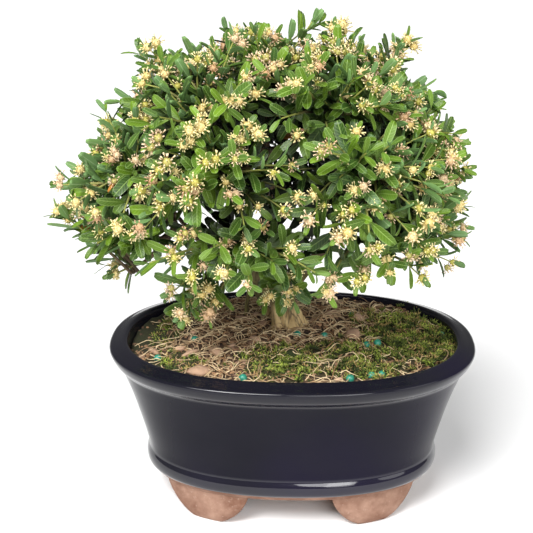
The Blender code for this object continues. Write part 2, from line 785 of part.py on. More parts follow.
def centre_on_origin(home):
    """Moves everything so that the origin lies on the ground under the middle of the plant."""
    bpy.context.view_layer.update()
    corners = [obj.matrix_world @ v.co for obj in home.objects for v in obj.data.vertices]
    middle_x = (min(p.x for p in corners) + max(p.x for p in corners)) / 2
    middle_y = (min(p.y for p in corners) + max(p.y for p in corners)) / 2
    ground = bpy.data.objects.new("bonsai", None)
    bpy.context.scene.collection.objects.link(ground)
    for obj in home.objects:
        obj.parent = ground
    ground.location = (-middle_x, -middle_y, 0)
    bpy.context.view_layer.update()
    print(f"pot centre at {-middle_x:.4f}, {-middle_y:.4f}")


def main():
    clear_scene()
    home = collection("boxwood_bonsai")
    clay = material("glazed_clay", (0.02, 0.02, 0.032), 0.12)
    earth = material("soil", (0.16, 0.10, 0.06), 0.9)
    bark = material("bark", (0.33, 0.27, 0.14), 0.8)
    green = material("foliage", (0.14, 0.30, 0.05), 0.45)
    plastic = material("screen_plastic", (0.03, 0.03, 0.03), 0.5)
    feed = material("feed", (0.05, 0.36, 0.24), 0.35)
    make_pot(home, clay)
    soil = make_soil(home, earth)
    for side in (-1, 1):
        make_screen(side, home, plastic)
    make_pellets(home, soil, feed)
    sprays = plan_sprays()
    trunk = make_trunk(sprays, home, bark)
    space = Space()
    wood_points = [vertex.co.copy() for vertex in trunk.data.vertices]
    space.add("wood", wood_points, [tuple(polygon.vertices) for polygon in trunk.data.polygons])
    plan_twigs(sprays, space)
    leaves, blooms = 0, 0
    for spray in sprays:
        counts = make_spray(spray, space, home, green)
        leaves += counts["pair"]
        blooms += counts["bloom"]
    centre_on_origin(home)
    print(f"{len(sprays)} sprays, {leaves} leaves, {blooms} flower heads")


main()
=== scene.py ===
# %% [markdown]
# # A boxwood bonsai in its glazed pot
# This lesson dresses a plain, measured model of a small boxwood tree. The measured model gives every size
# and place. Here each plain solid is exchanged for a finely made piece: the pot, the mossy soil, the
# wood, and the leafy shoots with their flowers. First the measured model is loaded, because everything
# else is fitted to it.

# %% Load the measured model
import math
import random

import bmesh
import bpy
from mathutils import Matrix, Vector, noise


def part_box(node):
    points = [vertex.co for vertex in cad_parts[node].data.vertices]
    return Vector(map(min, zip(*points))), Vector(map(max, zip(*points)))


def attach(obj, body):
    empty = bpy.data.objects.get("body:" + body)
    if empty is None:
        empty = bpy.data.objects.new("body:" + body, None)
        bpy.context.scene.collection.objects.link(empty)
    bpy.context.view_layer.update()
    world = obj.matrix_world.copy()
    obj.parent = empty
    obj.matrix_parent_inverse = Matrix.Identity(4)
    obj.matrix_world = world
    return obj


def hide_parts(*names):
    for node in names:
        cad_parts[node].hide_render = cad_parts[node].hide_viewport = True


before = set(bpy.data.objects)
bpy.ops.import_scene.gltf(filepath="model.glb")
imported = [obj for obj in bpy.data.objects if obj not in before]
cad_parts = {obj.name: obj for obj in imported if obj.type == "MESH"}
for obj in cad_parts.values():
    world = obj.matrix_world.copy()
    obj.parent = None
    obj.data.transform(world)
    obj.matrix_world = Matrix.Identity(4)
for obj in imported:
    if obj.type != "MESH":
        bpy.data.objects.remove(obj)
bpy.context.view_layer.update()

MM = 0.001
pot_low, pot_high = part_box("pot")
POT_AT = Vector(((pot_low.x + pot_high.x) / 2, (pot_low.y + pot_high.y) / 2, 0))
print("the pot stands at", [round(value / MM, 1) for value in POT_AT], "mm")

# %% [markdown]
# ## Helpers for meshes
# A mesh in Blender is a list of points and a list of faces that name them. Most pieces below are worked
# out round the pot's own centre, which makes their formulas short. One helper turns such lists into an
# object, and another moves a finished piece to the pot's place by moving its points, so that the object
# itself stays at the origin.

# %% Mesh helpers
def mesh_object(name, points, faces, edges=()):
    """An object from plain lists, smooth shaded."""
    mesh = bpy.data.meshes.new(name)
    mesh.from_pydata([tuple(point) for point in points], list(edges), faces)
    mesh.update()
    mesh.shade_smooth()
    obj = bpy.data.objects.new(name, mesh)
    bpy.context.scene.collection.objects.link(obj)
    return obj


def settle(obj):
    """Uses up the object's modifiers: its evaluated mesh becomes its own plain mesh."""
    bpy.context.view_layer.update()
    graph = bpy.context.evaluated_depsgraph_get()
    mesh = bpy.data.meshes.new_from_object(obj.evaluated_get(graph))
    obj.modifiers.clear()
    obj.data = mesh
    return obj


def remove_objects(objects):
    for obj in list(objects):
        bpy.data.objects.remove(obj)


def loft(rings):
    """Points and faces of a skin through rings of equal length, capped at both ends."""
    steps = len(rings[0])
    points = [point for loop in rings for point in loop]
    faces = []
    for level in range(len(rings) - 1):
        low, high = level * steps, (level + 1) * steps
        for step in range(steps):
            after = (step + 1) % steps
            faces.append((low + step, low + after, high + after, high + step))
    faces.insert(0, tuple(range(steps))[::-1])
    faces.append(tuple(range((len(rings) - 1) * steps, len(rings) * steps)))
    return points, faces


def face_outwards(obj):
    mesh = bmesh.new()
    mesh.from_mesh(obj.data)
    bmesh.ops.recalc_face_normals(mesh, faces=mesh.faces)
    mesh.to_mesh(obj.data)
    mesh.free()


def mark(obj, name, values, domain="POINT"):
    """Stores one number for each point or face, for a material to read."""
    attribute = obj.data.attributes.new(name, "FLOAT", domain)
    attribute.data.foreach_set("value", values)


def dress(obj, slot, *nodes):
    """Moves a finished piece to the pot's place, lets it ride with the plant, and hides the measured parts
    that it replaces.
    """
    obj.data.transform(Matrix.Translation(POT_AT))
    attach(obj, "root")
    if nodes:
        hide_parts(*nodes)
    triangles = sum(len(face.vertices) - 2 for face in obj.data.polygons)
    print(f"{obj.name}: {triangles} triangles")


# %% [markdown]
# ## Helpers for node trees
# A material and a Geometry Nodes tree are both graphs: boxes wired from output to input. Written out call
# by call such a graph is long, so this small class adds a node, sets or wires its inputs, and hands back
# the socket that the next node needs. The same class serves both kinds of tree.

# %% A short way to write node trees
class Graph:
    def __init__(self, tree):
        self.tree = tree

    def add(self, kind, inputs=None, **settings):
        node = self.tree.nodes.new(kind)
        for name, value in settings.items():
            setattr(node, name, value)
        for key, value in (inputs or {}).items():
            if isinstance(value, bpy.types.NodeSocket):
                self.tree.links.new(value, node.inputs[key])
            else:
                node.inputs[key].default_value = value
        return node

    def math(self, operation, a, b=0.0, clamp=False):
        return self.add("ShaderNodeMath", {0: a, 1: b}, operation=operation, use_clamp=clamp).outputs[0]

    def vector(self, operation, a, b=(0, 0, 0), scale=1.0):
        node = self.add("ShaderNodeVectorMath", {0: a, 1: b, 3: scale}, operation=operation)
        return node.outputs[0]

    def ease(self, value, low, high, to_low=0.0, to_high=1.0):
        """A smooth step of value from to_low, at low, to to_high, at high."""
        return self.add("ShaderNodeMapRange", {0: value, 1: low, 2: high, 3: to_low, 4: to_high},
                        interpolation_type="SMOOTHSTEP").outputs[0]

    def mix(self, share, a, b, blend="MIX"):
        node = self.add("ShaderNodeMix", {0: share, 6: a, 7: b}, data_type="RGBA", blend_type=blend)
        return node.outputs[2]

    def noise(self, place, scale, detail=3.0, roughness=0.55):
        return self.add("ShaderNodeTexNoise", {"Vector": place, "Scale": scale, "Detail": detail,
                                               "Roughness": roughness}).outputs[0]

    def number(self, name):
        """A number stored on the mesh, read by a material."""
        return self.add("ShaderNodeAttribute", attribute_name=name).outputs["Fac"]

    def bump(self, height, strength, distance):
        inputs = {"Height": height, "Strength": strength, "Distance": distance}
        return self.add("ShaderNodeBump", inputs).outputs[0]

    def group(self, tree, inputs):
        node = self.add("ShaderNodeGroup", node_tree=tree)
        for key, value in inputs.items():
            if isinstance(value, bpy.types.NodeSocket):
                self.tree.links.new(value, node.inputs[key])
            else:
                node.inputs[key].default_value = value
        return node


def colour(red, green, blue):
    return (red, green, blue, 1.0)


def new_material(name, roughness=0.6, **constants):
    """A material, its graph and its Principled BSDF. Constants go straight onto the shader's own sockets."""
    made = bpy.data.materials.new(name)
    made.use_nodes = True
    graph = Graph(made.node_tree)
    shader = made.node_tree.nodes["Principled BSDF"]
    shader.inputs["Roughness"].default_value = roughness
    for socket, value in constants.items():
        shader.inputs[socket.replace("_", " ")].default_value = value
    return made, graph, shader


def wire(graph, shader, **links):
    for socket, value in links.items():
        graph.tree.links.new(value, shader.inputs[socket.replace("_", " ")])


# %% [markdown]
# ## A shared effect: mottle
# Fired clay, bark, soil and stones all have blotches of two sizes, and a fine grain that catches the
# light. The effect is built once as a node group with named inputs, and each material places it with its
# own scale.

# %% The mottle group
def mottle_group():
    """A place and three numbers in; blotches, grain and a height out."""
    tree = bpy.data.node_groups.new("mottle", "ShaderNodeTree")
    tree.interface.new_socket("Place", in_out="INPUT", socket_type="NodeSocketVector")
    for name, value in (("Blotch Scale", 60.0), ("Grain Scale", 900.0), ("Contrast", 1.0)):
        tree.interface.new_socket(name, in_out="INPUT", socket_type="NodeSocketFloat").default_value = value
    for name in ("Blotches", "Grain", "Height"):
        tree.interface.new_socket(name, in_out="OUTPUT", socket_type="NodeSocketFloat")
    graph = Graph(tree)
    source = graph.add("NodeGroupInput")
    place = source.outputs["Place"]
    broad = graph.noise(place, source.outputs["Blotch Scale"], 4.0, 0.6)
    centred = graph.math("SUBTRACT", broad, 0.5)
    blotches = graph.math("ADD", graph.math("MULTIPLY", centred, source.outputs["Contrast"]), 0.5, clamp=True)
    grain = graph.noise(place, source.outputs["Grain Scale"], 2.0, 0.7)
    height = graph.math("ADD", graph.math("MULTIPLY", broad, 0.6), graph.math("MULTIPLY", grain, 0.4))
    graph.add("NodeGroupOutput", {"Blotches": blotches, "Grain": grain, "Height": height})
    return tree


MOTTLE = mottle_group()


def mottled(graph, place, blotch_scale, grain_scale, contrast):
    """The mottle group's node in a material. Its scales are in waves per metre."""
    return graph.group(MOTTLE, {"Place": place, "Blotch Scale": blotch_scale, "Grain Scale": grain_scale,
                                "Contrast": contrast})


print("shared group:", MOTTLE.name)

# %% [markdown]
# ## The pot's finish
# The real pot is one piece of pinkish terracotta. It was dipped in a near-black glaze down to a wavy line
# just above its feet, and the glaze fired to a deep gloss. One material shows both: a mask follows the
# height on the object, and noise makes its edge uneven. Above it the clay is dark with a clear coat,
# below it is bare, dull and speckled.

# %% Glaze over terracotta
GLAZE_LINE = 22.4 * MM
GLAZE_WAVER = 1.2 * MM
# The glaze is thickest and glossiest on the lip, above one height, and on the belt, below the other.
LIP_FROM, BELT_TO = 80 * MM, 31 * MM
COAT_ON_LIP, COAT_ON_BODY, COAT_ON_BELT = 0.45, 0.04, 0.9


def glazed_clay():
    """Dark glaze above a wavy line, and bare speckled clay below it."""
    made, graph, shader = new_material("glazed_clay", Coat_Roughness=0.05, Specular_IOR_Level=0.06)
    place = graph.add("ShaderNodeTexCoord").outputs["Object"]
    height = graph.add("ShaderNodeSeparateXYZ", {0: place}).outputs["Z"]
    waver = graph.math("MULTIPLY", graph.math("SUBTRACT", graph.noise(place, 45.0, 3.0), 0.5), GLAZE_WAVER)
    glazed = graph.ease(graph.math("ADD", height, waver), GLAZE_LINE - 0.25 * MM, GLAZE_LINE + 0.25 * MM)
    spots = mottled(graph, place, 75.0, 700.0, 3.0)
    bare = graph.mix(spots.outputs["Blotches"], colour(0.160, 0.080, 0.053), colour(0.320, 0.198, 0.145))
    specks = graph.ease(spots.outputs["Grain"], 0.60, 0.75)
    bare = graph.mix(graph.math("MULTIPLY", specks, 0.35), bare, colour(0.48, 0.36, 0.30))
    stain = graph.math("MULTIPLY", graph.ease(height, GLAZE_LINE - 2.2 * MM, GLAZE_LINE), 0.55)
    bare = graph.mix(stain, bare, colour(0.22, 0.11, 0.075))
    clouds = graph.noise(place, 22.0, 4.0)
    depth = graph.mix(clouds, colour(0.0045, 0.0045, 0.0085), colour(0.011, 0.0105, 0.016))
    pools = graph.ease(graph.noise(place, 9.0, 2.0), 0.45, 0.75)
    depth = graph.mix(graph.math("MULTIPLY", pools, 0.5), depth, colour(0.008, 0.005, 0.024))
    base = graph.mix(glazed, bare, depth)
    film = graph.ease(graph.noise(place, 60.0, 5.0, 0.7), 0.35, 0.8, 0.10, 0.24)
    rough = graph.math("ADD", graph.math("MULTIPLY", glazed, film),
                       graph.math("MULTIPLY", graph.math("SUBTRACT", 1.0, glazed), 0.82))
    dimples = graph.math("MULTIPLY", graph.noise(place, 120.0, 2.0), 0.12)
    rough_clay = graph.math("MULTIPLY", graph.math("SUBTRACT", 1.0, glazed), spots.outputs["Height"])
    relief = graph.math("ADD", graph.math("ADD", dimples, rough_clay), graph.math("MULTIPLY", glazed, 0.9))
    lip = graph.ease(height, LIP_FROM, LIP_FROM + 3 * MM, 0.0, COAT_ON_LIP)
    belt = graph.ease(height, BELT_TO, BELT_TO + 2 * MM, COAT_ON_BELT, COAT_ON_BODY)
    coat = graph.math("MULTIPLY", glazed, graph.math("MAXIMUM", lip, belt))
    wire(graph, shader, Base_Color=base, Roughness=rough, Coat_Weight=coat,
         Normal=graph.bump(relief, 0.5, 0.4 * MM))
    return made


GLAZED_CLAY = glazed_clay()
print("material:", GLAZED_CLAY.name)

# %% [markdown]
# ## The pot
# The pot is thrown and then squeezed: its plan is a superellipse, a little squarer than an ellipse. So it
# is a loft, a stack of rings of that plan. A profile of insets and heights says how far each ring lies
# inside the rim's own outline. The profile's points come from the measured solid, and a smooth curve
# through them rounds the rolled lip, the bowed wall, the notch and the belt. The lip's top slopes up
# towards its inner edge. A lathe couldn't make the pot, because the plan isn't round.

# %% The wall's profile
HALF_LENGTH, HALF_WIDTH = (pot_high.x - pot_low.x) / 2, (pot_high.y - pot_low.y) / 2
PLAN_POWER = 2.3
PLAN_STEPS = 200
FLOOR_TOP = 26 * MM
UNDERSIDE = 19 * MM
# Millimetres in from the rim's outline, and up from the ground. The outside runs up and the inside down.
OUTSIDE = [(22.5, 19), (20.2, 21.5), (18.5, 24), (18.4, 28), (19.9, 31.4), (18.7, 38), (14.9, 53), (11.1, 66),
           (7.2, 77), (5.3, 81.6), (4.4, 82.9), (2.0, 85.6), (0.6, 88.4), (0.0, 90.8), (0.9, 92.0)]
INSIDE = [(3.6, 92.9), (7.4, 94.2), (9.2, 94.2), (10.4, 92.2), (12.0, 84), (17.0, 66), (24.5, 36), (29, 26)]
CORNERS = {(22.5, 19), (19.9, 31.4), (5.3, 81.6), (29, 26)}
SPAN_STEPS = 4


def rounded(knots, corners, per_span):
    """A smooth curve through the knots, with a crease wherever a knot is named as a corner."""
    made = []
    for index in range(len(knots) - 1):
        start, end = Vector(knots[index]), Vector(knots[index + 1])
        before = start if knots[index] in corners or index == 0 else Vector(knots[index - 1])
        is_last = index + 2 >= len(knots)
        after = end if knots[index + 1] in corners or is_last else Vector(knots[index + 2])
        third = (end - start).length / 3
        leave = start + (end - before).normalized() * third
        arrive = end - (after - start).normalized() * third
        for step in range(per_span):
            t = step / per_span
            made.append(start * (1 - t) ** 3 + leave * 3 * t * (1 - t) ** 2
                        + arrive * 3 * t ** 2 * (1 - t) + end * t ** 3)
    made.append(Vector(knots[-1]))
    return made


def plan_ring(inset, height, steps=PLAN_STEPS):
    """One ring of the pot's plan, at a height and so far inside the rim's outline."""
    points = []
    for step in range(steps):
        turn = 2 * math.pi * step / steps
        c, s = math.cos(turn), math.sin(turn)
        x = math.copysign(abs(c) ** (2 / PLAN_POWER), c) * (HALF_LENGTH - inset)
        y = math.copysign(abs(s) ** (2 / PLAN_POWER), s) * (HALF_WIDTH - inset)
        points.append(Vector((x, y, height)))
    return points


wall = rounded(OUTSIDE + INSIDE, CORNERS, SPAN_STEPS)
print(f"the wall's profile has {len(wall)} points")

# %% [markdown]
# ## Feet and drain holes
# Each foot is half round seen from outside and follows the pot's oval. It is a loft too, across the foot
# instead of up it: at each step along the oval the section hangs down by a half-round drop, with its toe
# rounded off. The feet are joined to the body by a Boolean union, and two drills take out the drain
# holes.

# %% Feet
FOOT_AT, FOOT_HALF_SPAN, FOOT_DEPTH, FOOT_INSET = 45 * MM, 22.5 * MM, 13 * MM, 22.8 * MM
FOOT_STEPS = 44
FOOT_FLAT, FOOT_ROUND = 1.07, 0.6
# The heel's distance from the pot's middle, as a share of the toe's.
HEEL_SHARE = 0.93
# How far the toe is rounded, inwards, and upwards as a share of the drop.
TOE_ROUND, TOE_LIFT = 3.4 * MM, 0.42
TOE_POINTS = 5
DRAIN_AT, DRAIN_RADIUS = 36 * MM, 6.5 * MM


def outline_point(x, inset, side):
    """Where the pot's outline lies at x, on its front or its back."""
    half_length, half_width = HALF_LENGTH - inset, HALF_WIDTH - inset
    return Vector((x, side * half_width * (1 - abs(x / half_length) ** PLAN_POWER) ** (1 / PLAN_POWER), 0))


def foot(side_x, side_y):
    """One foot: a row of sections across it, lofted along the oval."""
    sections = []
    for step in range(FOOT_STEPS + 1):
        share = -math.cos(math.pi * step / FOOT_STEPS)
        x = side_x * (FOOT_AT + share * FOOT_HALF_SPAN)
        drop = UNDERSIDE * min(1.0, FOOT_FLAT * max(0.0, 1 - share ** 2) ** FOOT_ROUND)
        top, low = UNDERSIDE + 2 * MM, UNDERSIDE - drop
        outer = outline_point(x, FOOT_INSET, side_y)
        heel = outline_point(x * HEEL_SHARE, FOOT_INSET + FOOT_DEPTH, side_y)
        section = [Vector((outer.x, outer.y, top)), Vector((outer.x, outer.y, UNDERSIDE))]
        for bead in range(TOE_POINTS + 1):
            turn = 0.5 * math.pi * bead / TOE_POINTS
            inset = FOOT_INSET + TOE_ROUND * (1 - math.cos(turn)) + 0.4 * MM
            toe = outline_point(x, inset, side_y)
            section.append(Vector((toe.x, toe.y, low + drop * TOE_LIFT * (1 - math.sin(turn)))))
        section += [Vector((heel.x, heel.y, low)), Vector((heel.x, heel.y, top))]
        sections.append(section)
    made = mesh_object("foot", *loft(sections))
    face_outwards(made)
    return made


def drill(x):
    place = (x, 0, UNDERSIDE)
    bpy.ops.mesh.primitive_cylinder_add(vertices=48, radius=DRAIN_RADIUS, depth=30 * MM, location=place)
    return bpy.context.active_object


def cut_and_join(obj, tools, operation):
    """Applies one Boolean with a collection of tools, then removes the tools."""
    group = bpy.data.collections.new("tools")
    for tool in tools:
        group.objects.link(tool)
    change = obj.modifiers.new(operation.lower(), "BOOLEAN")
    change.operation, change.operand_type, change.solver = operation, "COLLECTION", "EXACT"
    change.collection = group
    settle(obj)
    remove_objects(tools)
    bpy.data.collections.remove(group)


def make_pot():
    """The lofted body, with the drain holes taken out and the feet joined on."""
    made = mesh_object("glazed_pot", *loft([plan_ring(p.x * MM, p.y * MM) for p in wall]))
    face_outwards(made)
    cut_and_join(made, [drill(side * DRAIN_AT) for side in (-1, 1)], "DIFFERENCE")
    cut_and_join(made, [foot(x, y) for x in (-1, 1) for y in (-1, 1)], "UNION")
    made.data.materials.clear()
    made.data.materials.append(GLAZED_CLAY)
    made.data.shade_smooth()
    made.data.set_sharp_from_angle(angle=math.radians(38))
    dress(made, "glazed_clay", "pot")


make_pot()

# %% [markdown]
# ## The soil's shape
# The soil is mounded towards the trunk, and rises and falls in lumps. A formula gives its height
# anywhere, so that crumbs, moss, rootlets and beads can all be laid on the same surface. The formula is
# the measured solid's own, with a finer roughness and a rise towards the back wall added. The root ball
# goes down to the pot's floor, because it shows through the drain holes.

# %% The root ball
SOIL_EDGE, SOIL_CROWN = 87.2 * MM, 93 * MM
SOIL_HALF_LENGTH, SOIL_HALF_WIDTH = 87 * MM, 60 * MM
SOIL_LUMPS = 0.9 * MM
SOIL_RINGS = 56
SOIL_STEPS = 160
# How much higher the soil lies where it is heaped against the back wall.
BACK_RISE = 4.2 * MM
SOIL_ROUGHNESS, SOIL_SWELLS = 0.9 * MM, 1.3 * MM
CLEARANCE = 0.3 * MM
TRUNK_FOOT = Vector((-2 * MM, 14 * MM, SOIL_CROWN))


def mound(x, y):
    """The soil's height: low at the rim, mounded towards the trunk, with lumps."""
    share = min(1.0, math.hypot(x / SOIL_HALF_LENGTH, y / SOIL_HALF_WIDTH))
    height = SOIL_EDGE + (SOIL_CROWN - SOIL_EDGE) * (1 - share ** 1.8)
    lumps = math.sin(x * 190 + 1.3) * math.sin(y * 230 + 0.4) + 0.6 * math.sin(x * 410 - y * 330)
    return height + SOIL_LUMPS * lumps * math.sin(math.pi * min(1.0, 0.25 + 0.75 * share))


def soil_height(x, y):
    """The soil's real height: the mound, the rise at the back, and a finer roughness."""
    rough = noise.fractal(Vector((x, y, 0)) * 260, 0.9, 2.0, 4)
    swell = noise.noise(Vector((x, y, 0.3)) * 70)
    heaped = BACK_RISE * max(0.0, min(1.0, (y + 8 * MM) / (58 * MM))) ** 1.3
    return mound(x, y) + heaped + SOIL_ROUGHNESS * rough + SOIL_SWELLS * max(0.0, swell)


def wall_inset(height):
    """How far in the pot's inner wall lies at a height."""
    inner = wall[len(OUTSIDE) * SPAN_STEPS:]
    for high, low in zip(inner, inner[1:]):
        if low.y * MM <= height <= high.y * MM:
            return (high.x + (low.x - high.x) * (high.y * MM - height) / ((high.y - low.y) * MM)) * MM
    return INSIDE[-1][0] * MM


def make_soil():
    """Rings up the pot's inner wall, and then rings that close in over the top."""
    bottom = FLOOR_TOP + CLEARANCE
    rings = [plan_ring(wall_inset(h) + CLEARANCE, h, SOIL_STEPS) for h in (bottom, 36 * MM, 66 * MM, 80 * MM)]
    rim = plan_ring(wall_inset(SOIL_EDGE) + CLEARANCE, SOIL_EDGE, SOIL_STEPS)
    for level in range(SOIL_RINGS):
        scale = 1 - (level / SOIL_RINGS) ** 1.05
        rings.append([Vector((p.x * scale, p.y * scale, soil_height(p.x * scale, p.y * scale))) for p in rim])
    made = mesh_object("soil_ball", *loft(rings))
    face_outwards(made)
    return made


soil = make_soil()
print(f"the soil rises from {SOIL_EDGE / MM:.1f} to {SOIL_CROWN / MM:.1f} mm")

# %% [markdown]
# ## Where the moss grows
# Moss makes cushions on part of the soil: a bright one at the front, a wide one on the right and an olive
# one along the left rim. Each is a soft-edged ellipse, and noise frays its edge. The same function tints
# the soil below and says how thickly the moss is planted.

# %% Moss patches
# Each cushion's middle and half sizes, in millimetres from the pot's centre, and how fresh its green is.
MOSS_PATCHES = [(-4, -33, 23, 19, 1.0), (66, 4, 30, 36, 0.75), (40, -34, 20, 15, 0.6),
                (-80, 14, 17, 36, 0.35), (24, -16, 12, 8, 0.8), (-62, -30, 16, 12, 0.2)]


def moss_at(x, y):
    """How mossy a spot is, and how fresh the moss is there."""
    fray = 0.45 * noise.noise(Vector((x, y, 0)) * 130) + 0.25 * noise.noise(Vector((x, y, 1)) * 380)
    best, fresh = 0.0, 0.0
    for mid_x, mid_y, half_x, half_y, green in MOSS_PATCHES:
        away = math.hypot((x / MM - mid_x) / half_x, (y / MM - mid_y) / half_y)
        cover = max(0.0, min(1.0, (1.15 - away + fray) * 2.2))
        if cover > best:
            best, fresh = cover, green
    return best, fresh


cover = [moss_at(v.co.x, v.co.y) if v.co.z > 80 * MM else (0.0, 0.0) for v in soil.data.vertices]
mark(soil, "moss", [value for value, _ in cover])
mark(soil, "fresh", [value for _, value in cover])
print(f"moss covers {sum(value > 0.5 for value, _ in cover)} of {len(cover)} soil points")

# %% [markdown]
# ## The soil's finish, and its crumbs
# Potting soil is dark and damp between paler crumbs of bark and peat. The colour changes with noise at
# two scales, and turns mossy where the moss number on the mesh says so. The crumbs themselves have to be
# real shapes, or the soil would look painted. A Geometry Nodes tree strews copies of a few lumpy stones
# over the surface.

# %% Soil material
def soil_material():
    """Dark earth with paler grains, turned green where the moss number is high."""
    made, graph, shader = new_material("potting_soil", 0.92)
    place = graph.add("ShaderNodeTexCoord").outputs["Object"]
    spots = mottled(graph, place, 220.0, 1500.0, 2.6)
    earth = graph.mix(spots.outputs["Blotches"], colour(0.010, 0.005, 0.003), colour(0.085, 0.043, 0.022))
    earth = graph.mix(graph.ease(spots.outputs["Grain"], 0.56, 0.72), earth, colour(0.22, 0.13, 0.07))
    green = graph.mix(graph.number("fresh"), colour(0.018, 0.018, 0.005), colour(0.016, 0.034, 0.004))
    base = graph.mix(graph.math("MULTIPLY", graph.number("moss"), 0.85), earth, green)
    wire(graph, shader, Base_Color=base, Normal=graph.bump(spots.outputs["Height"], 0.9, 1.0 * MM))
    return made


soil.data.materials.append(soil_material())


def crumb_material(name, low, high, roughness=0.85):
    """For crumbs, chips and rootlets: two colours, chosen by the tint that each copy carries."""
    made, graph, shader = new_material(name, roughness)
    place = graph.add("ShaderNodeTexCoord").outputs["Object"]
    spots = mottled(graph, place, 260.0, 1600.0, 1.8)
    base = graph.mix(graph.number("tint"), low, high)
    shade = graph.mix(spots.outputs["Blotches"], colour(0.62, 0.60, 0.58), colour(1.15, 1.12, 1.08))
    base = graph.mix(1.0, base, shade, "MULTIPLY")
    wire(graph, shader, Base_Color=base, Normal=graph.bump(spots.outputs["Height"], 0.7, 0.5 * MM))
    return made


CRUMB = crumb_material("crumbs", colour(0.012, 0.006, 0.003), colour(0.44, 0.26, 0.14))
print("materials:", soil.data.materials[0].name, CRUMB.name)

# %% A helper for Geometry Nodes trees
def geometry_tree(name, inputs):
    """An empty tree with a mesh in, a mesh out and named inputs, and the node that its inputs come from."""
    tree = bpy.data.node_groups.new(name, "GeometryNodeTree")
    tree.interface.new_socket("Geometry", in_out="OUTPUT", socket_type="NodeSocketGeometry")
    tree.interface.new_socket("Geometry", in_out="INPUT", socket_type="NodeSocketGeometry")
    for title, kind in inputs.items():
        tree.interface.new_socket(title, in_out="INPUT", socket_type=f"NodeSocket{kind}")
    graph = Graph(tree)
    return tree, graph, graph.add("NodeGroupInput").outputs


def grow(obj, tree, values):
    """Runs a tree on an object with named values, and leaves the result as its plain mesh."""
    change = obj.modifiers.new(tree.name, "NODES")
    change.node_group = tree
    for item in tree.interface.items_tree:
        if item.in_out == "INPUT" and item.name in values:
            change[item.identifier] = values[item.name]
    return settle(obj)


def random_number(graph, low, high, seed):
    """A random number for each point or copy."""
    return graph.add("FunctionNodeRandomValue", {2: low, 3: high, 8: seed}, data_type="FLOAT").outputs[1]


def stored(graph, geometry, name, value, domain="INSTANCE"):
    """Stores a number on each copy, for a material to read later."""
    return graph.add("GeometryNodeStoreNamedAttribute", {"Geometry": geometry, "Name": name, "Value": value},
                     data_type="FLOAT", domain=domain).outputs[0]


def shelf_of(graph, collection):
    """The shapes of a collection, each as an instance that a tree can pick from."""
    return graph.add("GeometryNodeCollectionInfo", {
        "Collection": collection, "Separate Children": True, "Reset Children": True}).outputs[0]


def realized(graph, instances, finish):
    """The closing pair of every tree: copies become real mesh, and the mesh gets its material."""
    solid = graph.add("GeometryNodeRealizeInstances", {0: instances}).outputs[0]
    return graph.add("GeometryNodeSetMaterial", {"Geometry": solid, "Material": finish}).outputs[0]


# %% The tree that strews copies over a surface
def strewing_tree():
    """Copies of a collection's shapes, strewn over the input by its cover number, each turned its own way."""
    tree, graph, given = geometry_tree("strew over surface", {
        "Shapes": "Collection", "Density": "Float", "Smallest": "Float", "Largest": "Float", "Lean": "Float",
        "Sink": "Float", "Seed": "Int", "Finish": "Material"})
    cover = graph.add("GeometryNodeInputNamedAttribute", {"Name": "cover"}, data_type="FLOAT").outputs[0]
    density = graph.math("MULTIPLY", given["Density"], cover)
    spread = graph.add("GeometryNodeDistributePointsOnFaces", {
        "Mesh": given["Geometry"], "Density": density, "Seed": given["Seed"]}, distribute_method="RANDOM")
    sunk = graph.vector("SCALE", spread.outputs["Normal"], scale=graph.math("MULTIPLY", given["Sink"], -1.0))
    points = graph.add("GeometryNodeSetPosition", {
        "Geometry": spread.outputs["Points"], "Offset": sunk}).outputs[0]
    lean = graph.add("FunctionNodeRandomValue", {0: (-1, -1, -1), 1: (1, 1, 1), 8: given["Seed"]},
                     data_type="FLOAT_VECTOR").outputs[0]
    up = graph.vector("ADD", spread.outputs["Normal"], graph.vector("SCALE", lean, scale=given["Lean"]))
    upright = graph.add("FunctionNodeAlignRotationToVector", {"Vector": up}, axis="Z").outputs[0]
    spin = graph.add("ShaderNodeCombineXYZ", {2: random_number(graph, 0.0, 2 * math.pi, 5)}).outputs[0]
    spin = graph.add("FunctionNodeEulerToRotation", {0: spin}).outputs[0]
    turned = graph.add("FunctionNodeRotateRotation", {0: upright, 1: spin}, rotation_space="LOCAL").outputs[0]
    shapes = shelf_of(graph, given["Shapes"])
    size = random_number(graph, given["Smallest"], given["Largest"], 9)
    copies = graph.add("GeometryNodeInstanceOnPoints", {
        "Points": points, "Instance": shapes, "Pick Instance": True, "Rotation": turned,
        "Scale": size}).outputs[0]
    copies = stored(graph, copies, "tint", random_number(graph, 0.0, 1.0, 21))
    graph.add("NodeGroupOutput", {0: realized(graph, copies, given["Finish"])})
    return tree


STREW = strewing_tree()
print("tree:", STREW.name, "with", len(STREW.nodes), "nodes")

# %% Crumbs
CRUMB_FLATNESS = (0.8, 0.55, 0.4, 0.9)
# Copies on a square metre.
CRUMB_DENSITY, MOSS_DENSITY = 190000.0, 300000.0


def shape_shelf(name, shapes):
    """A collection of master shapes for the trees to copy."""
    shelf = bpy.data.collections.new(name)
    for shape in shapes:
        for home in list(shape.users_collection):
            home.objects.unlink(shape)
        shelf.objects.link(shape)
    return shelf


def lumpy_stone(name, seed, flatness):
    """A small angular lump, one unit across: a ball whose points are pushed in and out."""
    ball = bmesh.new()
    bmesh.ops.create_icosphere(ball, subdivisions=1, radius=0.5)
    draw = random.Random(seed)
    for vertex in ball.verts:
        vertex.co *= draw.uniform(0.62, 1.15)
        vertex.co.z *= flatness
    mesh = bpy.data.meshes.new(name)
    ball.to_mesh(mesh)
    ball.free()
    obj = bpy.data.objects.new(name, mesh)
    bpy.context.scene.collection.objects.link(obj)
    return obj


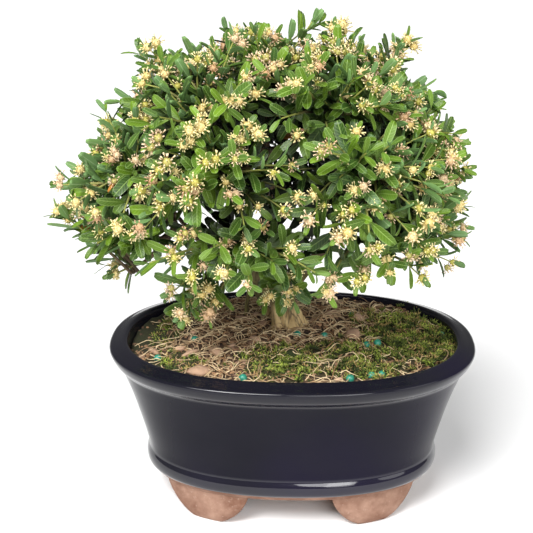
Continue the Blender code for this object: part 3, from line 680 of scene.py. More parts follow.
def top_of_soil(name, cover_rule):
    """A copy of the soil's upper surface, with a cover number on each point."""
    made = mesh_object(name, [], [])
    made.data = soil.data.copy()
    shell = bmesh.new()
    shell.from_mesh(made.data)
    sides = [face for face in shell.faces if face.normal.z < 0.4]
    bmesh.ops.delete(shell, geom=sides, context="FACES")
    shell.to_mesh(made.data)
    shell.free()
    mark(made, "cover", [cover_rule(v.co.x, v.co.y) for v in made.data.vertices])
    return made


stones = shape_shelf("crumb shapes", [
    lumpy_stone(f"crumb_{seed}", seed, flatness) for seed, flatness in enumerate(CRUMB_FLATNESS)])
crumbs = top_of_soil("soil_crumbs", lambda x, y: 1.0 - 0.75 * moss_at(x, y)[0])
grow(crumbs, STREW, {"Shapes": stones, "Density": CRUMB_DENSITY, "Smallest": 0.9 * MM, "Largest": 3.2 * MM,
                     "Lean": 0.5, "Sink": 0.1 * MM, "Seed": 3, "Finish": CRUMB})
dress(soil, "soil", "soil")
dress(crumbs, "soil")

# %% [markdown]
# ## Moss
# A moss cushion is a crowd of tiny upright stars. One star is a ring of thin pointed blades with a tuft
# in the middle, and it takes a few dozen faces. Three versions of it are strewn by the same tree,
# thickest where the moss number is high. Each copy's tint picks its green.

# %% Moss stars
def moss_star(name, seed, blades):
    """A tuft of narrow blades, one unit high, each a thin three-sided spike."""
    draw = random.Random(seed)
    points, faces = [], []
    for index in range(blades):
        turn = index * math.radians(137.5) + draw.uniform(-0.3, 0.3)
        lean = 0.25 + 0.95 * (index + 0.5) / blades
        reach = draw.uniform(0.75, 1.1)
        out = Vector((math.cos(turn) * math.sin(lean), math.sin(turn) * math.sin(lean), math.cos(lean)))
        side = Vector((-math.sin(turn), math.cos(turn), 0))
        back = out.cross(side)
        first = len(points)
        foot_at = Vector((0, 0, 0.12 * index / blades))
        for angle in (0.5, 2.6, 4.7):
            points.append(foot_at + (side * math.cos(angle) * 0.13 + back * math.sin(angle) * 0.06))
        for angle in (0.5, 2.6, 4.7):
            across = side * math.cos(angle) * 0.12 + back * math.sin(angle) * 0.05
            points.append(foot_at + out * reach * 0.55 + across)
        points.append(foot_at + out * reach - Vector((0, 0, 0.10 * reach * lean)))
        for step in range(3):
            after = (step + 1) % 3
            faces.append((first + step, first + after, first + 3 + after, first + 3 + step))
            faces.append((first + 3 + step, first + 3 + after, first + 6))
        faces.append((first + 2, first + 1, first))
    made = mesh_object(name, points, faces)
    face_outwards(made)
    mark(made, "reach", [min(1.0, max(0.0, point.length)) for point in points])
    return made


def moss_material():
    """Greens that go from dark at a blade's foot to bright at its tip, with some dry copies. The dark foot
    is partly the older stem's colour and partly painted shade deep in the cushion.
    """
    made, graph, shader = new_material("moss", 0.55)
    place = graph.add("ShaderNodeTexCoord").outputs["Object"]
    patch = graph.noise(place, 120.0, 4.0, 0.65)
    deep = graph.mix(graph.number("tint"), colour(0.030, 0.058, 0.006), colour(0.170, 0.240, 0.018))
    fresh = graph.mix(graph.number("tint"), colour(0.300, 0.430, 0.030), colour(0.760, 0.820, 0.180))
    green = graph.mix(graph.ease(patch, 0.42, 0.58), deep, fresh)
    dry = graph.ease(graph.number("tint"), 0.76, 0.84)
    green = graph.mix(dry, green, colour(0.66, 0.44, 0.16))
    # Near black at a blade's foot: partly the older stem's colour, partly painted shade deep in the cushion.
    base = graph.mix(graph.ease(graph.number("reach"), 0.25, 0.95), colour(0.012, 0.016, 0.004), green)
    wire(graph, shader, Base_Color=base)
    return made


stars = shape_shelf("moss shapes", [moss_star(f"moss_star_{n}", 30 + n, 5 + n) for n in range(3)])
moss = top_of_soil("moss_cushions", lambda x, y: moss_at(x, y)[0])
grow(moss, STREW, {"Shapes": stars, "Density": MOSS_DENSITY, "Smallest": 1.7 * MM, "Largest": 4.4 * MM,
                   "Lean": 0.6, "Sink": 0.2 * MM, "Seed": 8, "Finish": moss_material()})
dress(moss, "soil")

# %% [markdown]
# ## Rootlets
# Dry, straw-coloured rootlets lie all over the soil where there is no moss, curling over and under each
# other. Each starts as a chain of points that wanders over the surface and lifts off it a little in the
# middle. A tree turns the chains into curves, resamples them so that the bends come out round, and sweeps
# a small circle along them.

# %% Rootlets wander over the soil
ROOTLETS = 1150
ROOTLET_STEP = 1.5 * MM


def inside_soil(x, y, margin):
    """Whether a spot lies on the soil, at least a margin away from the wall."""
    reach = wall_inset(SOIL_EDGE) + CLEARANCE + margin
    return abs(x / (HALF_LENGTH - reach)) ** PLAN_POWER + abs(y / (HALF_WIDTH - reach)) ** PLAN_POWER < 1


def wander(draw):
    """One rootlet: its points and its own tint, or None where moss or the rim is in the way."""
    x, y = draw.uniform(-1, 1) * HALF_LENGTH, draw.uniform(-1, 1) * HALF_WIDTH
    if not inside_soil(x, y, 1.5 * MM) or draw.random() < 0.9 * moss_at(x, y)[0]:
        return None
    heading, turning = draw.uniform(0, 2 * math.pi), draw.gauss(0, 0.16)
    steps = int(draw.triangular(4, 15, 6))
    lift = draw.triangular(0.4, 4.0, 0.9) * MM
    points = []
    for step in range(steps):
        rise = lift * math.sin(math.pi * (0.12 + 0.76 * step / steps)) - 0.1 * MM
        points.append(Vector((x, y, soil_height(x, y) + max(0.25 * MM, rise))))
        heading += turning + draw.gauss(0, 0.28)
        x, y = x + ROOTLET_STEP * math.cos(heading), y + ROOTLET_STEP * math.sin(heading)
        if not inside_soil(x, y, 0.8 * MM):
            break
    return (points, draw.random()) if len(points) > 3 else None


def chains(name, strands, **numbers):
    """An object of bare edges, one chain for each strand, with numbers stored on its points."""
    points, edges = [], []
    for strand in strands:
        first = len(points)
        points += strand
        edges += [(first + n, first + n + 1) for n in range(len(strand) - 1)]
    made = mesh_object(name, points, [], edges)
    for title, values in numbers.items():
        mark(made, title, [value for strand, value in zip(strands, values) for _ in strand])
    return made


draw = random.Random(5)
wandered = [found for found in (wander(draw) for _ in range(ROOTLETS * 3)) if found][:ROOTLETS]
rootlets = chains("rootlets", [points for points, _ in wandered], tint=[tint for _, tint in wandered])
print(f"{len(wandered)} rootlets")

# %% The tree that sweeps a thread along each chain
def thread_tree():
    """Sweeps a small circle along each chain of points, thinner towards its end."""
    tree, graph, given = geometry_tree("threads", {"Spacing": "Float", "Radius": "Float", "Sides": "Int",
                                                   "Finish": "Material"})
    curve = graph.add("GeometryNodeMeshToCurve", {0: given["Geometry"]}).outputs[0]
    curve = graph.add("GeometryNodeCurveSplineType", {0: curve}, spline_type="CATMULL_ROM").outputs[0]
    curve = graph.add("GeometryNodeResampleCurve", {"Curve": curve, "Length": given["Spacing"]},
                      mode="LENGTH").outputs[0]
    along = graph.add("GeometryNodeSplineParameter").outputs["Factor"]
    taper = graph.math("SUBTRACT", 1.0, graph.math("POWER", along, 3.0))
    share = graph.math("ADD", graph.math("MULTIPLY", taper, 0.65), 0.35)
    thick = graph.math("MULTIPLY", given["Radius"], share)
    curve = graph.add("GeometryNodeSetCurveRadius", {"Curve": curve, "Radius": thick}).outputs[0]
    circle = graph.add("GeometryNodeCurvePrimitiveCircle", {
        "Resolution": given["Sides"], "Radius": 1.0}).outputs[0]
    radius = graph.add("GeometryNodeInputRadius").outputs[0]
    skin = graph.add("GeometryNodeCurveToMesh", {"Curve": curve, "Profile Curve": circle, "Scale": radius,
                                                 "Fill Caps": True}).outputs[0]
    skin = graph.add("GeometryNodeSetShadeSmooth", {0: skin}).outputs[0]
    graph.add("NodeGroupOutput", {0: realized(graph, skin, given["Finish"])})
    return tree


THREADS = thread_tree()
ROOTLET = crumb_material("rootlet", colour(0.30, 0.155, 0.065), colour(1.0, 0.82, 0.52), 0.6)
grow(rootlets, THREADS, {"Spacing": 1.4 * MM, "Radius": 0.29 * MM, "Sides": 3, "Finish": ROOTLET})
dress(rootlets, "soil")

# %% [markdown]
# ## Bark chips and beads of feed
# A few dozen larger chips of bark and pale stones lie half sunk among the rootlets. They are big enough
# for each to be its own shape. The green beads of slow release feed stand for the measured beads, so each
# is placed by its solid's box and keeps its size.

# %% Chips
CHIPS = 64
# The larger pale stones and pinkish chips near the front: x, y and size in millimetres.
LARGE_CHIPS = [(-54.6, -20.1, 9.5), (-40, -20.9, 8.5), (-46.8, -41.8, 11), (-28.1, 21, 8), (33.9, 0.9, 9),
               (-60.6, -13.9, 7), (38, 24, 8), (-74, -16, 8), (22, 30, 9), (-20, -8, 7), (60, 27, 8)]


def chip_points(draw, x, y, size):
    """Points and faces of one lumpy, flattened chip that lies on the soil."""
    ball = bmesh.new()
    bmesh.ops.create_icosphere(ball, subdivisions=2, radius=0.5)
    seed = draw.uniform(0, 50)
    flat, long = draw.uniform(0.30, 0.6), draw.uniform(1.0, 1.7)
    turn = Matrix.Rotation(draw.uniform(0, 6.3), 3, "Z") @ Matrix.Rotation(draw.gauss(0, 0.25), 3, "X")
    ground = soil_height(x, y)
    for vertex in ball.verts:
        bumpy = 1 + 0.45 * noise.noise(vertex.co * 2.2 + Vector((seed, 0, 0)))
        shaped = Vector((vertex.co.x * long, vertex.co.y, vertex.co.z * flat)) * bumpy * size / long ** 0.5
        vertex.co = turn @ shaped + Vector((x, y, ground + 0.16 * size * flat))
    points = [vertex.co.copy() for vertex in ball.verts]
    faces = [tuple(vertex.index for vertex in face.verts) for face in ball.faces]
    ball.free()
    return points, faces


def make_chips():
    """The large chips at their places, and smaller ones strewn where there is no moss."""
    draw = random.Random(12)
    spots = [(x * MM, y * MM, size * MM) for x, y, size in LARGE_CHIPS]
    while len(spots) < CHIPS:
        x, y = draw.uniform(-1, 1) * HALF_LENGTH, draw.uniform(-1, 1) * HALF_WIDTH
        near_trunk = math.hypot(x - TRUNK_FOOT.x, y - TRUNK_FOOT.y) < 13 * MM
        if inside_soil(x, y, 4 * MM) and not near_trunk and moss_at(x, y)[0] < 0.7:
            spots.append((x, y, draw.triangular(2.5, 6.5, 3.2) * MM))
    points, faces, tints = [], [], []
    for x, y, size in spots:
        new_points, new_faces = chip_points(draw, x, y, size)
        faces += [tuple(corner + len(points) for corner in face) for face in new_faces]
        points += new_points
        tints += [draw.uniform(0.45, 1.0) if size > 6.5 * MM else draw.random()] * len(new_points)
    made = mesh_object("bark_chips", points, faces)
    mark(made, "tint", tints)
    finish = crumb_material("bark_chip", colour(0.13, 0.065, 0.038), colour(0.60, 0.40, 0.27))
    made.data.materials.append(finish)
    dress(made, "soil")


make_chips()

# %% Beads of feed
# How far a bead's middle lies above the soil, as a share of its radius.
BEAD_SHOWS = 0.25


def bead_material():
    made, graph, shader = new_material("feed_bead", 0.34)
    place = graph.add("ShaderNodeTexCoord").outputs["Object"]
    spots = mottled(graph, place, 420.0, 2500.0, 1.6)
    base = graph.mix(spots.outputs["Blotches"], colour(0.008, 0.110, 0.065), colour(0.035, 0.310, 0.215))
    wire(graph, shader, Base_Color=base, Normal=graph.bump(spots.outputs["Height"], 0.4, 0.2 * MM))
    return made


def make_bead(name, finish):
    """A slightly uneven ball in the place and size of a measured bead."""
    low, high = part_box(name)
    centre, radius = (low + high) / 2 - POT_AT, (high.z - low.z) / 2
    centre.z = soil_height(centre.x, centre.y) + BEAD_SHOWS * radius
    ball = bmesh.new()
    bmesh.ops.create_uvsphere(ball, u_segments=24, v_segments=14, radius=radius)
    for vertex in ball.verts:
        vertex.co = centre + vertex.co * (1 + 0.05 * noise.noise(vertex.co * 700))
    mesh = bpy.data.meshes.new(f"feed_{name}")
    ball.to_mesh(mesh)
    ball.free()
    mesh.shade_smooth()
    mesh.materials.append(finish)
    obj = bpy.data.objects.new(f"feed_{name}", mesh)
    bpy.context.scene.collection.objects.link(obj)
    dress(obj, "feed", name)


FEED = bead_material()
for name in sorted(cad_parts):
    if name.startswith("pellet"):
        make_bead(name, FEED)

# %% [markdown]
# ## The drain screens
# Under the soil a square of plastic mesh covers each drain hole. The measured solids have the right shape
# already, so they stay, and only get a finish: black plastic with a fine scuffed grain.

# %% Screen plastic
def screen_plastic():
    made, graph, shader = new_material("screen_plastic", 0.5)
    place = graph.add("ShaderNodeTexCoord").outputs["Object"]
    spots = mottled(graph, place, 300.0, 3000.0, 1.4)
    base = graph.mix(spots.outputs["Blotches"], colour(0.012, 0.012, 0.012), colour(0.05, 0.047, 0.042))
    wire(graph, shader, Base_Color=base, Roughness=graph.ease(spots.outputs["Grain"], 0.3, 0.7, 0.38, 0.7),
         Normal=graph.bump(spots.outputs["Height"], 0.3, 0.1 * MM))
    return made


PLASTIC = screen_plastic()
for side in ("left", "right"):
    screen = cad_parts[f"drain_screen_{side}"]
    screen.data.materials.clear()
    screen.data.materials.append(PLASTIC)
print("finished the two drain screens")

# %% [markdown]
# ## The crown's plan
# The plain model holds the crown as 22 sprays, and this lesson keeps them: each fine spray stands in its
# solid's place. The sprays' boxes give the crown as a whole: a little boxy, sloping more on its left, and
# swelling in clumps with dark hollows between them. Shoot tips are spread evenly over it by the golden
# angle, the rule that spaces the seeds of a sunflower, and each tip belongs to the nearest spray. A few
# tufts stand out of it.

# %% Sprays from the measured model
LOW_SPRAYS = ("spray_low_front_left", "spray_low_front", "spray_drooping_left")
HEART_PULL = 13 * MM
CROWN_HALF_HEIGHT = 88 * MM


def crown_of_model():
    """The middle and half sizes of the crown, from the boxes of all but the low sprays."""
    boxes = [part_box(name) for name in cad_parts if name.startswith("spray_") and name not in LOW_SPRAYS]
    low = Vector(min(box[0][axis] for box in boxes) for axis in range(3)) - POT_AT
    high = Vector(max(box[1][axis] for box in boxes) for axis in range(3)) - POT_AT
    middle = (low + high) / 2
    middle.z = high.z - CROWN_HALF_HEIGHT
    return middle, Vector(((high.x - low.x) / 2, (high.y - low.y) / 2, CROWN_HALF_HEIGHT))


crown_heart, crown_half = crown_of_model()


def sprays_of_model():
    """Each spray's middle, and the heart inside it that its shoots grow from."""
    sprays = {}
    for name in sorted(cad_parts):
        if name.startswith("spray_"):
            low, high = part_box(name)
            centre = (low + high) / 2 - POT_AT
            inward = (crown_heart - centre).normalized()
            sprays[name] = {"centre": centre, "heart": centre + inward * HEART_PULL, "shoots": []}
    return sprays


def nearest_spray(point):
    return min(sprays.values(), key=lambda spray: (spray["centre"] - point).length)


sprays = sprays_of_model()
print(len(sprays), "sprays round a crown heart at", [round(value / MM) for value in crown_heart], "mm")

# %% Shoot tips
OUTER_SHOOTS, INNER_SHOOTS = 370, 260
# How deep below the crown's surface the tips lie, in millimetres. A few strays reach almost to the surface.
OUTER_DEPTHS, INNER_DEPTHS, STRAY_DEPTHS = (8, 19), (25, 44), (3, 7)
STRAY_SHARE = 0.08
# The crown is open below this level, as a share of its half height.
CROWN_UNDERSIDE = -0.36
# How boxy the crown is, where 2 is an ellipsoid; how far its clumps swell and sink; how fine they are.
CROWN_POWER = 2.25
CROWN_CLUMPS = 15 * MM
CLUMP_FINENESS = 4.4
# The left shoulder slopes more than the right one.
LEFT_SLOPE = 0.22
# Tufts that stand out of the crown: where their tips are, in millimetres from the pot's centre.
TUFTS = [(12, 10, 258), (50, 0, 250), (-72, 0, 246), (84, 0, 184), (-102, -14, 186), (74, -24, 212),
         (-84, -30, 200), (30, -40, 242), (80, -20, 166), (-98, -30, 164)]
SHOOTS_OF_TUFT = 3
TUFT_SPREAD = 7 * MM
GOLDEN = math.radians(137.50776)
# Where the shoots of each low spray end: middle and half sizes of a box, in millimetres, and how many shoots.
LOW_TIPS = [
    ("spray_low_front_left", (-52, -40, 128), (11, 8, 7), 9),
    ("spray_low_front", (-6, -34, 130), (8, 7, 5), 6),
    ("spray_drooping_left", (-114, -10, 163), (8, 12, 6), 6),
    ("spray_drooping_left", (-96, -14, 130), (5, 6, 7), 3),
]
# The crown is lopped where it would hang over the pot's ends: tips beyond these x lie above these heights.
LOPPED_LEFT, LOPPED_RIGHT = (-62 * MM, 160 * MM), (42 * MM, 146 * MM)


def even_directions(count, lowest):
    """Directions spread evenly over the part of a ball above a level."""
    for index in range(count):
        z = 1 - (1 - lowest) * (index + 0.5) / count
        turn = index * GOLDEN
        yield Vector((math.cos(turn) * math.sqrt(1 - z * z), math.sin(turn) * math.sqrt(1 - z * z), z))


def crown_point(direction, depth):
    """A point that lies at a depth below the crown's surface, which is a little boxy and grows in clumps."""
    bulge = sum(abs(d) ** CROWN_POWER for d in direction) ** (-1 / CROWN_POWER)
    surface = Vector(d * half * bulge for d, half in zip(direction, crown_half))
    if direction.x < 0:
        surface.x *= 1 - LEFT_SLOPE * max(0.0, direction.z)
    clump = CROWN_CLUMPS * noise.noise(direction * CLUMP_FINENESS + Vector((4.1, 0, 0)))
    return crown_heart + surface - surface.normalized() * (depth + clump)


def add_shoot(spray, tip, draw, outer):
    """A shoot's chain of points: it leaves the spray's heart, arches, and ends at its tip."""
    start = spray["heart"] + Vector([draw.uniform(-1, 1) for _ in range(3)]) * 5 * MM
    length = (tip - start).length
    arch = Vector((draw.gauss(0, 0.06), draw.gauss(0, 0.06), draw.gauss(0.10, 0.05))) * length
    middle = (start + tip) / 2 + arch
    chain = []
    for step in range(7):
        t = step / 6
        chain.append(start * (1 - t) ** 2 + middle * 2 * t * (1 - t) + tip * t ** 2)
    spray["shoots"].append({"chain": chain, "outer": outer, "phase": draw.uniform(0, 2 * math.pi)})


def is_lopped(tip):
    """Whether a tip lies too low at the left or the right end of the crown."""
    left_x, left_z = LOPPED_LEFT
    right_x, right_z = LOPPED_RIGHT
    return (tip.x < left_x and tip.z < left_z) or (tip.x > right_x and tip.z < right_z)


def plan_shoots():
    """Gives every shoot of the crown, the tufts and the low sprays to the spray that it grows from."""
    draw = random.Random(77)
    for count, depths, outer in ((OUTER_SHOOTS, OUTER_DEPTHS, 1.0), (INNER_SHOOTS, INNER_DEPTHS, 0.0)):
        for direction in even_directions(count, CROWN_UNDERSIDE):
            sway = Vector([draw.gauss(0, 0.035) for _ in range(3)])
            depth = draw.uniform(*depths) * MM
            if outer and draw.random() < STRAY_SHARE:
                depth = draw.uniform(*STRAY_DEPTHS) * MM
            tip = crown_point((direction + sway).normalized(), depth)
            if not is_lopped(tip):
                add_shoot(nearest_spray(tip), tip, draw, outer)
    for tuft in TUFTS:
        for _ in range(SHOOTS_OF_TUFT):
            tip = Vector(tuft) * MM + Vector([draw.uniform(-1, 1) for _ in range(3)]) * TUFT_SPREAD
            add_shoot(nearest_spray(tip), tip, draw, 1.0)
    for name, middle, half, count in LOW_TIPS:
        for _ in range(count):
            tip = Vector(draw.uniform(m - h, m + h) * MM for m, h in zip(middle, half))
            add_shoot(sprays[name], tip, draw, 1.0)


plan_shoots()
print(sum(len(spray["shoots"]) for spray in sprays.values()), "shoots")

# %% [markdown]
# ## A shared effect: painted shade in the crown's heart
# Leaves inside a dense crown are older, but the gaps between the outer shoots look almost black mostly
# because little light reaches them. This group paints that shade into the colours of leaves and twigs, and
# paints them darker low on the crown as well. It measures how near the surface a point lies, as a share of
# the crown's own half sizes, and gives a factor that the colours are multiplied by.

# %% The crown shade group
HEART_SHARE, SURFACE_SHARE = 0.60, 0.94
HEART_SHADE = 0.07
# Painted shade: leaves low on the crown are coloured darker than those on its top, as light falls from above.
LOW_SHADE = 0.72


def crown_shade_group():
    """A place in, and a factor of painted shade out that is low deep inside the crown and low down on it."""
    tree = bpy.data.node_groups.new("crown shade", "ShaderNodeTree")
    tree.interface.new_socket("Place", in_out="INPUT", socket_type="NodeSocketVector")
    tree.interface.new_socket("Shade", in_out="OUTPUT", socket_type="NodeSocketFloat")
    graph = Graph(tree)
    source = graph.add("NodeGroupInput")
    away = graph.vector("SUBTRACT", source.outputs["Place"], tuple(POT_AT + crown_heart))
    shares = graph.add("ShaderNodeSeparateXYZ", {0: graph.vector("DIVIDE", away, tuple(crown_half))})
    # The crown is half as deep below its heart as above it.
    upright = graph.math("MAXIMUM", shares.outputs[2], graph.math("MULTIPLY", shares.outputs[2], -2.0))
    across = graph.math("ADD", graph.math("POWER", graph.math("ABSOLUTE", shares.outputs[0]), 2.0),
                        graph.math("POWER", graph.math("ABSOLUTE", shares.outputs[1]), 2.0))
    share = graph.math("SQRT", graph.math("ADD", across, graph.math("MULTIPLY", upright, upright)))
    # Painted shade: darker deep inside the crown, and darker low on it.
    depth = graph.ease(share, HEART_SHARE, SURFACE_SHARE, HEART_SHADE, 1.0)
    level = graph.ease(shares.outputs[2], -0.5, 0.3, LOW_SHADE, 1.0)
    graph.add("NodeGroupOutput", {"Shade": graph.math("MULTIPLY", depth, level)})
    return tree


CROWN_SHADE = crown_shade_group()
print("shared group:", CROWN_SHADE.name)

# %% [markdown]
# ## A boxwood leaf
# The leaf is the heart of the look. It is oblong, widest past the middle, blunt or faintly notched at the
# tip, folded a little along its pale midrib and curled back. It has to be light, because thousands are
# copied: six sections of four points each, lens shaped, so that it is closed and has a real thickness.
# Numbers stored on it say how far along and across each point lies and which faces are the underside, and
# the leaf's material reads them.

# %% Leaf masters
LEAF_LENGTH = 15 * MM
LEAF_HALF_WIDTH = 2.45 * MM
LEAF_THICKNESS = 0.45 * MM
# How far along the leaf each section lies, and its share of the full width.
LEAF_SECTIONS = [(0.0, 0.11), (0.13, 0.26), (0.35, 0.80), (0.60, 1.0), (0.84, 0.86), (0.965, 0.46)]


def leaf_master(name, fold, curl, twist):
    """One leaf, folded along its midrib, curled back and twisted."""
    points, faces, across, along = [], [], [], []
    for place, share in LEAF_SECTIONS:
        half = LEAF_HALF_WIDTH * share
        y = LEAF_LENGTH * place
        z = -curl * LEAF_LENGTH * place ** 2
        tilt = twist * place
        thick = LEAF_THICKNESS * (1.1 - 0.7 * place)
        edge = fold * half
        for x, dz, number in ((-half, edge, -1.0), (0.0, 0.0, 0.0), (half, edge, 1.0), (0.0, -thick, 0.0)):
            points.append(Vector((x * math.cos(tilt), y, z + dz + x * math.sin(tilt))))
            across.append(number)
            along.append(place)
    underside = []
    for level in range(len(LEAF_SECTIONS) - 1):
        low, high = 4 * level, 4 * level + 4
        for step in range(4):
            after = (step + 1) % 4
            faces.append((low + step, low + after, high + after, high + step))
            underside.append(0.0 if step < 2 else 1.0)
    faces += [(3, 2, 1, 0), tuple(range(len(points) - 4, len(points)))]
    underside += [0.0, 0.0]
    made = mesh_object(name, points, faces)
    for edge in made.data.edges:
        low, high = sorted(edge.vertices)
        edge.use_edge_sharp = low % 4 in (0, 2) and high - low == 4
    mark(made, "across", across)
    mark(made, "along", along)
    mark(made, "underside", underside, "FACE")
    return made


leaves = shape_shelf("leaf shapes", [
    leaf_master("leaf_flat", 0.12, 0.06, 0.1), leaf_master("leaf_folded", 0.38, 0.10, -0.2),
    leaf_master("leaf_curled", 0.22, 0.20, 0.25), leaf_master("leaf_cupped", 0.50, -0.07, 0.0)])

# %% Leaf material
def leaf_material():
    """Green by age and tint, with a pale midrib and rim, faint side veins and a bluish, duller underside.
    Painted shade darkens it deep in the crown and low on it.
    """
    made, graph, shader = new_material("boxwood_leaf", Specular_IOR_Level=0.35)
    place = graph.add("ShaderNodeTexCoord").outputs["Object"]
    across, along = graph.number("across"), graph.number("along")
    from_rib = graph.math("ABSOLUTE", across)
    tint, youth, under = graph.number("tint"), graph.number("youth"), graph.number("underside")
    old = graph.mix(tint, colour(0.020, 0.060, 0.004), colour(0.140, 0.250, 0.012))
    young = graph.mix(tint, colour(0.235, 0.410, 0.012), colour(0.500, 0.640, 0.035))
    green = graph.mix(youth, old, young)
    cool = graph.ease(graph.noise(place, 26.0, 2.0), 0.52, 0.70, 0.0, 0.35)
    green = graph.mix(graph.math("MULTIPLY", cool, graph.math("SUBTRACT", 1.0, youth)), green,
                      colour(0.080, 0.190, 0.060))
    veins = graph.math("SINE", graph.math("ADD", graph.math("MULTIPLY", along, 62.0),
                                          graph.math("MULTIPLY", from_rib, -9.0)))
    faint = graph.math("MULTIPLY", graph.ease(veins, 0.2, 1.0), 0.14)
    veined = graph.mix(faint, green, colour(0.34, 0.52, 0.15))
    rib = graph.ease(from_rib, 0.03, 0.12, 1.0, 0.0)
    ribbed = graph.mix(graph.math("MULTIPLY", rib, 0.50), veined, colour(0.36, 0.52, 0.14))
    rim = graph.ease(from_rib, 0.86, 1.0)
    topside = graph.mix(graph.math("MULTIPLY", rim, 0.50), ribbed, colour(0.42, 0.56, 0.22))
    below = graph.mix(0.6, green, colour(0.190, 0.340, 0.130))
    below = graph.mix(graph.math("MULTIPLY", rib, 0.5), below, colour(0.42, 0.56, 0.30))
    base = graph.mix(under, topside, below)
    spent = graph.ease(tint, 0.9955, 0.9975)
    base = graph.mix(graph.math("MULTIPLY", spent, graph.math("SUBTRACT", 1.0, youth)), base,
                     colour(0.42, 0.17, 0.03))
    # Painted shade: darker deep inside the crown and low on it.
    shade = graph.group(CROWN_SHADE, {"Place": place}).outputs["Shade"]
    base = graph.mix(1.0, base, shade, "MULTIPLY")
    rough = graph.ease(graph.noise(place, 900.0, 2.0), 0.3, 0.7, 0.32, 0.48)
    rough = graph.math("ADD", rough, graph.math("MULTIPLY", under, 0.22))
    height = graph.math("ADD", graph.math("MULTIPLY", rib, -0.6), graph.math("MULTIPLY", veins, 0.10))
    wire(graph, shader, Base_Color=base, Roughness=rough, Normal=graph.bump(height, 0.5, 0.3 * MM))
    return made


LEAF = leaf_material()
print("material:", LEAF.name)

# %% [markdown]
# ## The flower heads
# Boxwood flowers have no petals. Each head is a ball of stiff cream stamens with pale tips. One stamen is
# a slim spike of four faces that widens to its tip, and a ball in the middle stands for the crowd of those
# that can't be told apart, because a shape that is copied so often has to stay light. The ball is flecked
# with painted shade, as where crowded stamens shade each other, and the stamens turn deeper yellow towards
# it, partly their own colour and partly painted shade. Three heads are made: two dense ones, and an open one
# that shows its green heart. Their tint runs from fresh yellow to faded pink and brown.

# %% Flower masters
FLOWER_RISE = 2.4 * MM
FLOWER_REACH = 4.9 * MM
STAMEN_END = 0.50 * MM


def flower_master(name, stamens, lowest, heart_radius, heart_reach, seed):
    """One head: stamens that stand out evenly from a ball. Its heart_reach says how green the ball is."""
    draw = random.Random(seed)
    points, faces, reach = [], [], []
    middle = Vector((0, 0, FLOWER_RISE))
    for direction in even_directions(stamens, lowest):
        way = (direction + Vector([draw.gauss(0, 0.12) for _ in range(3)])).normalized()
        side = way.cross(Vector((0.3, 0.2, 0.93))).normalized()
        up = way.cross(side)
        length = FLOWER_REACH * draw.uniform(0.78, 1.14)
        first = len(points)
        points.append(middle + way * heart_radius * 0.5)
        for corner in range(3):
            turn = 2 * math.pi * corner / 3
            points.append(middle + way * length + (side * math.cos(turn) + up * math.sin(turn)) * STAMEN_END)
        faces += [(first, first + 1, first + 2), (first, first + 2, first + 3), (first, first + 3, first + 1),
                  (first + 1, first + 3, first + 2)]
        reach += [0.3, 1.0, 1.0, 1.0]
    ball = bmesh.new()
    bmesh.ops.create_icosphere(ball, subdivisions=1, radius=heart_radius)
    faces += [tuple(vertex.index + len(points) for vertex in face.verts) for face in ball.faces]
    points += [middle + vertex.co for vertex in ball.verts]
    reach += [heart_reach] * len(ball.verts)
    ball.free()
    made = mesh_object(name, points, faces)
    face_outwards(made)
    mark(made, "reach", reach)
    return made


# The ball in a head's middle is flecked this finely with painted shade, as where crowded stamens shade each
# other.
FLOWER_GRAIN = 1100.0


def flower_material():
    """Cream stamens round a ball flecked with painted shade, fresh or faded by the tint."""
    made, graph, shader = new_material("boxwood_flower", 0.6)
    tint, reach = graph.number("tint"), graph.number("reach")
    place = graph.add("ShaderNodeTexCoord").outputs["Object"]
    crowded = graph.ease(graph.noise(place, FLOWER_GRAIN, 1.0), 0.44, 0.56)
    # From a deeper yellow at the stamens' feet to cream at their tips: partly their own colour, partly
    # painted shade.
    fresh = graph.mix(graph.ease(reach, 0.3, 0.95), colour(0.66, 0.46, 0.12), colour(0.86, 0.75, 0.38))
    faded = graph.mix(graph.ease(reach, 0.3, 0.95), colour(0.62, 0.42, 0.22), colour(0.78, 0.60, 0.40))
    spent = graph.math("MULTIPLY", graph.ease(tint, 0.90, 0.98), 0.6)
    faded = graph.mix(spent, faded, colour(0.42, 0.20, 0.08))
    base = graph.mix(graph.ease(tint, 0.62, 0.78), fresh, faded)
    base = graph.mix(graph.ease(reach, 0.05, 0.25, 1.0, 0.0), base, colour(0.33, 0.44, 0.06))
    # Painted shade: dark flecks on the ball, as where crowded stamens shade each other.
    between = graph.math("MULTIPLY", crowded, graph.ease(reach, 0.7, 0.9, 0.4, 0.0))
    base = graph.mix(between, base, colour(0.30, 0.19, 0.04))
    wire(graph, shader, Base_Color=base)
    return made


flowers = shape_shelf("flower shapes", [
    flower_master("flower_full", 24, -0.60, 3.0 * MM, 0.65, 4),
    flower_master("flower_round", 24, -0.70, 2.8 * MM, 0.55, 9),
    flower_master("flower_open", 22, -0.45, 2.5 * MM, 0.14, 5)])
FLOWER = flower_material()

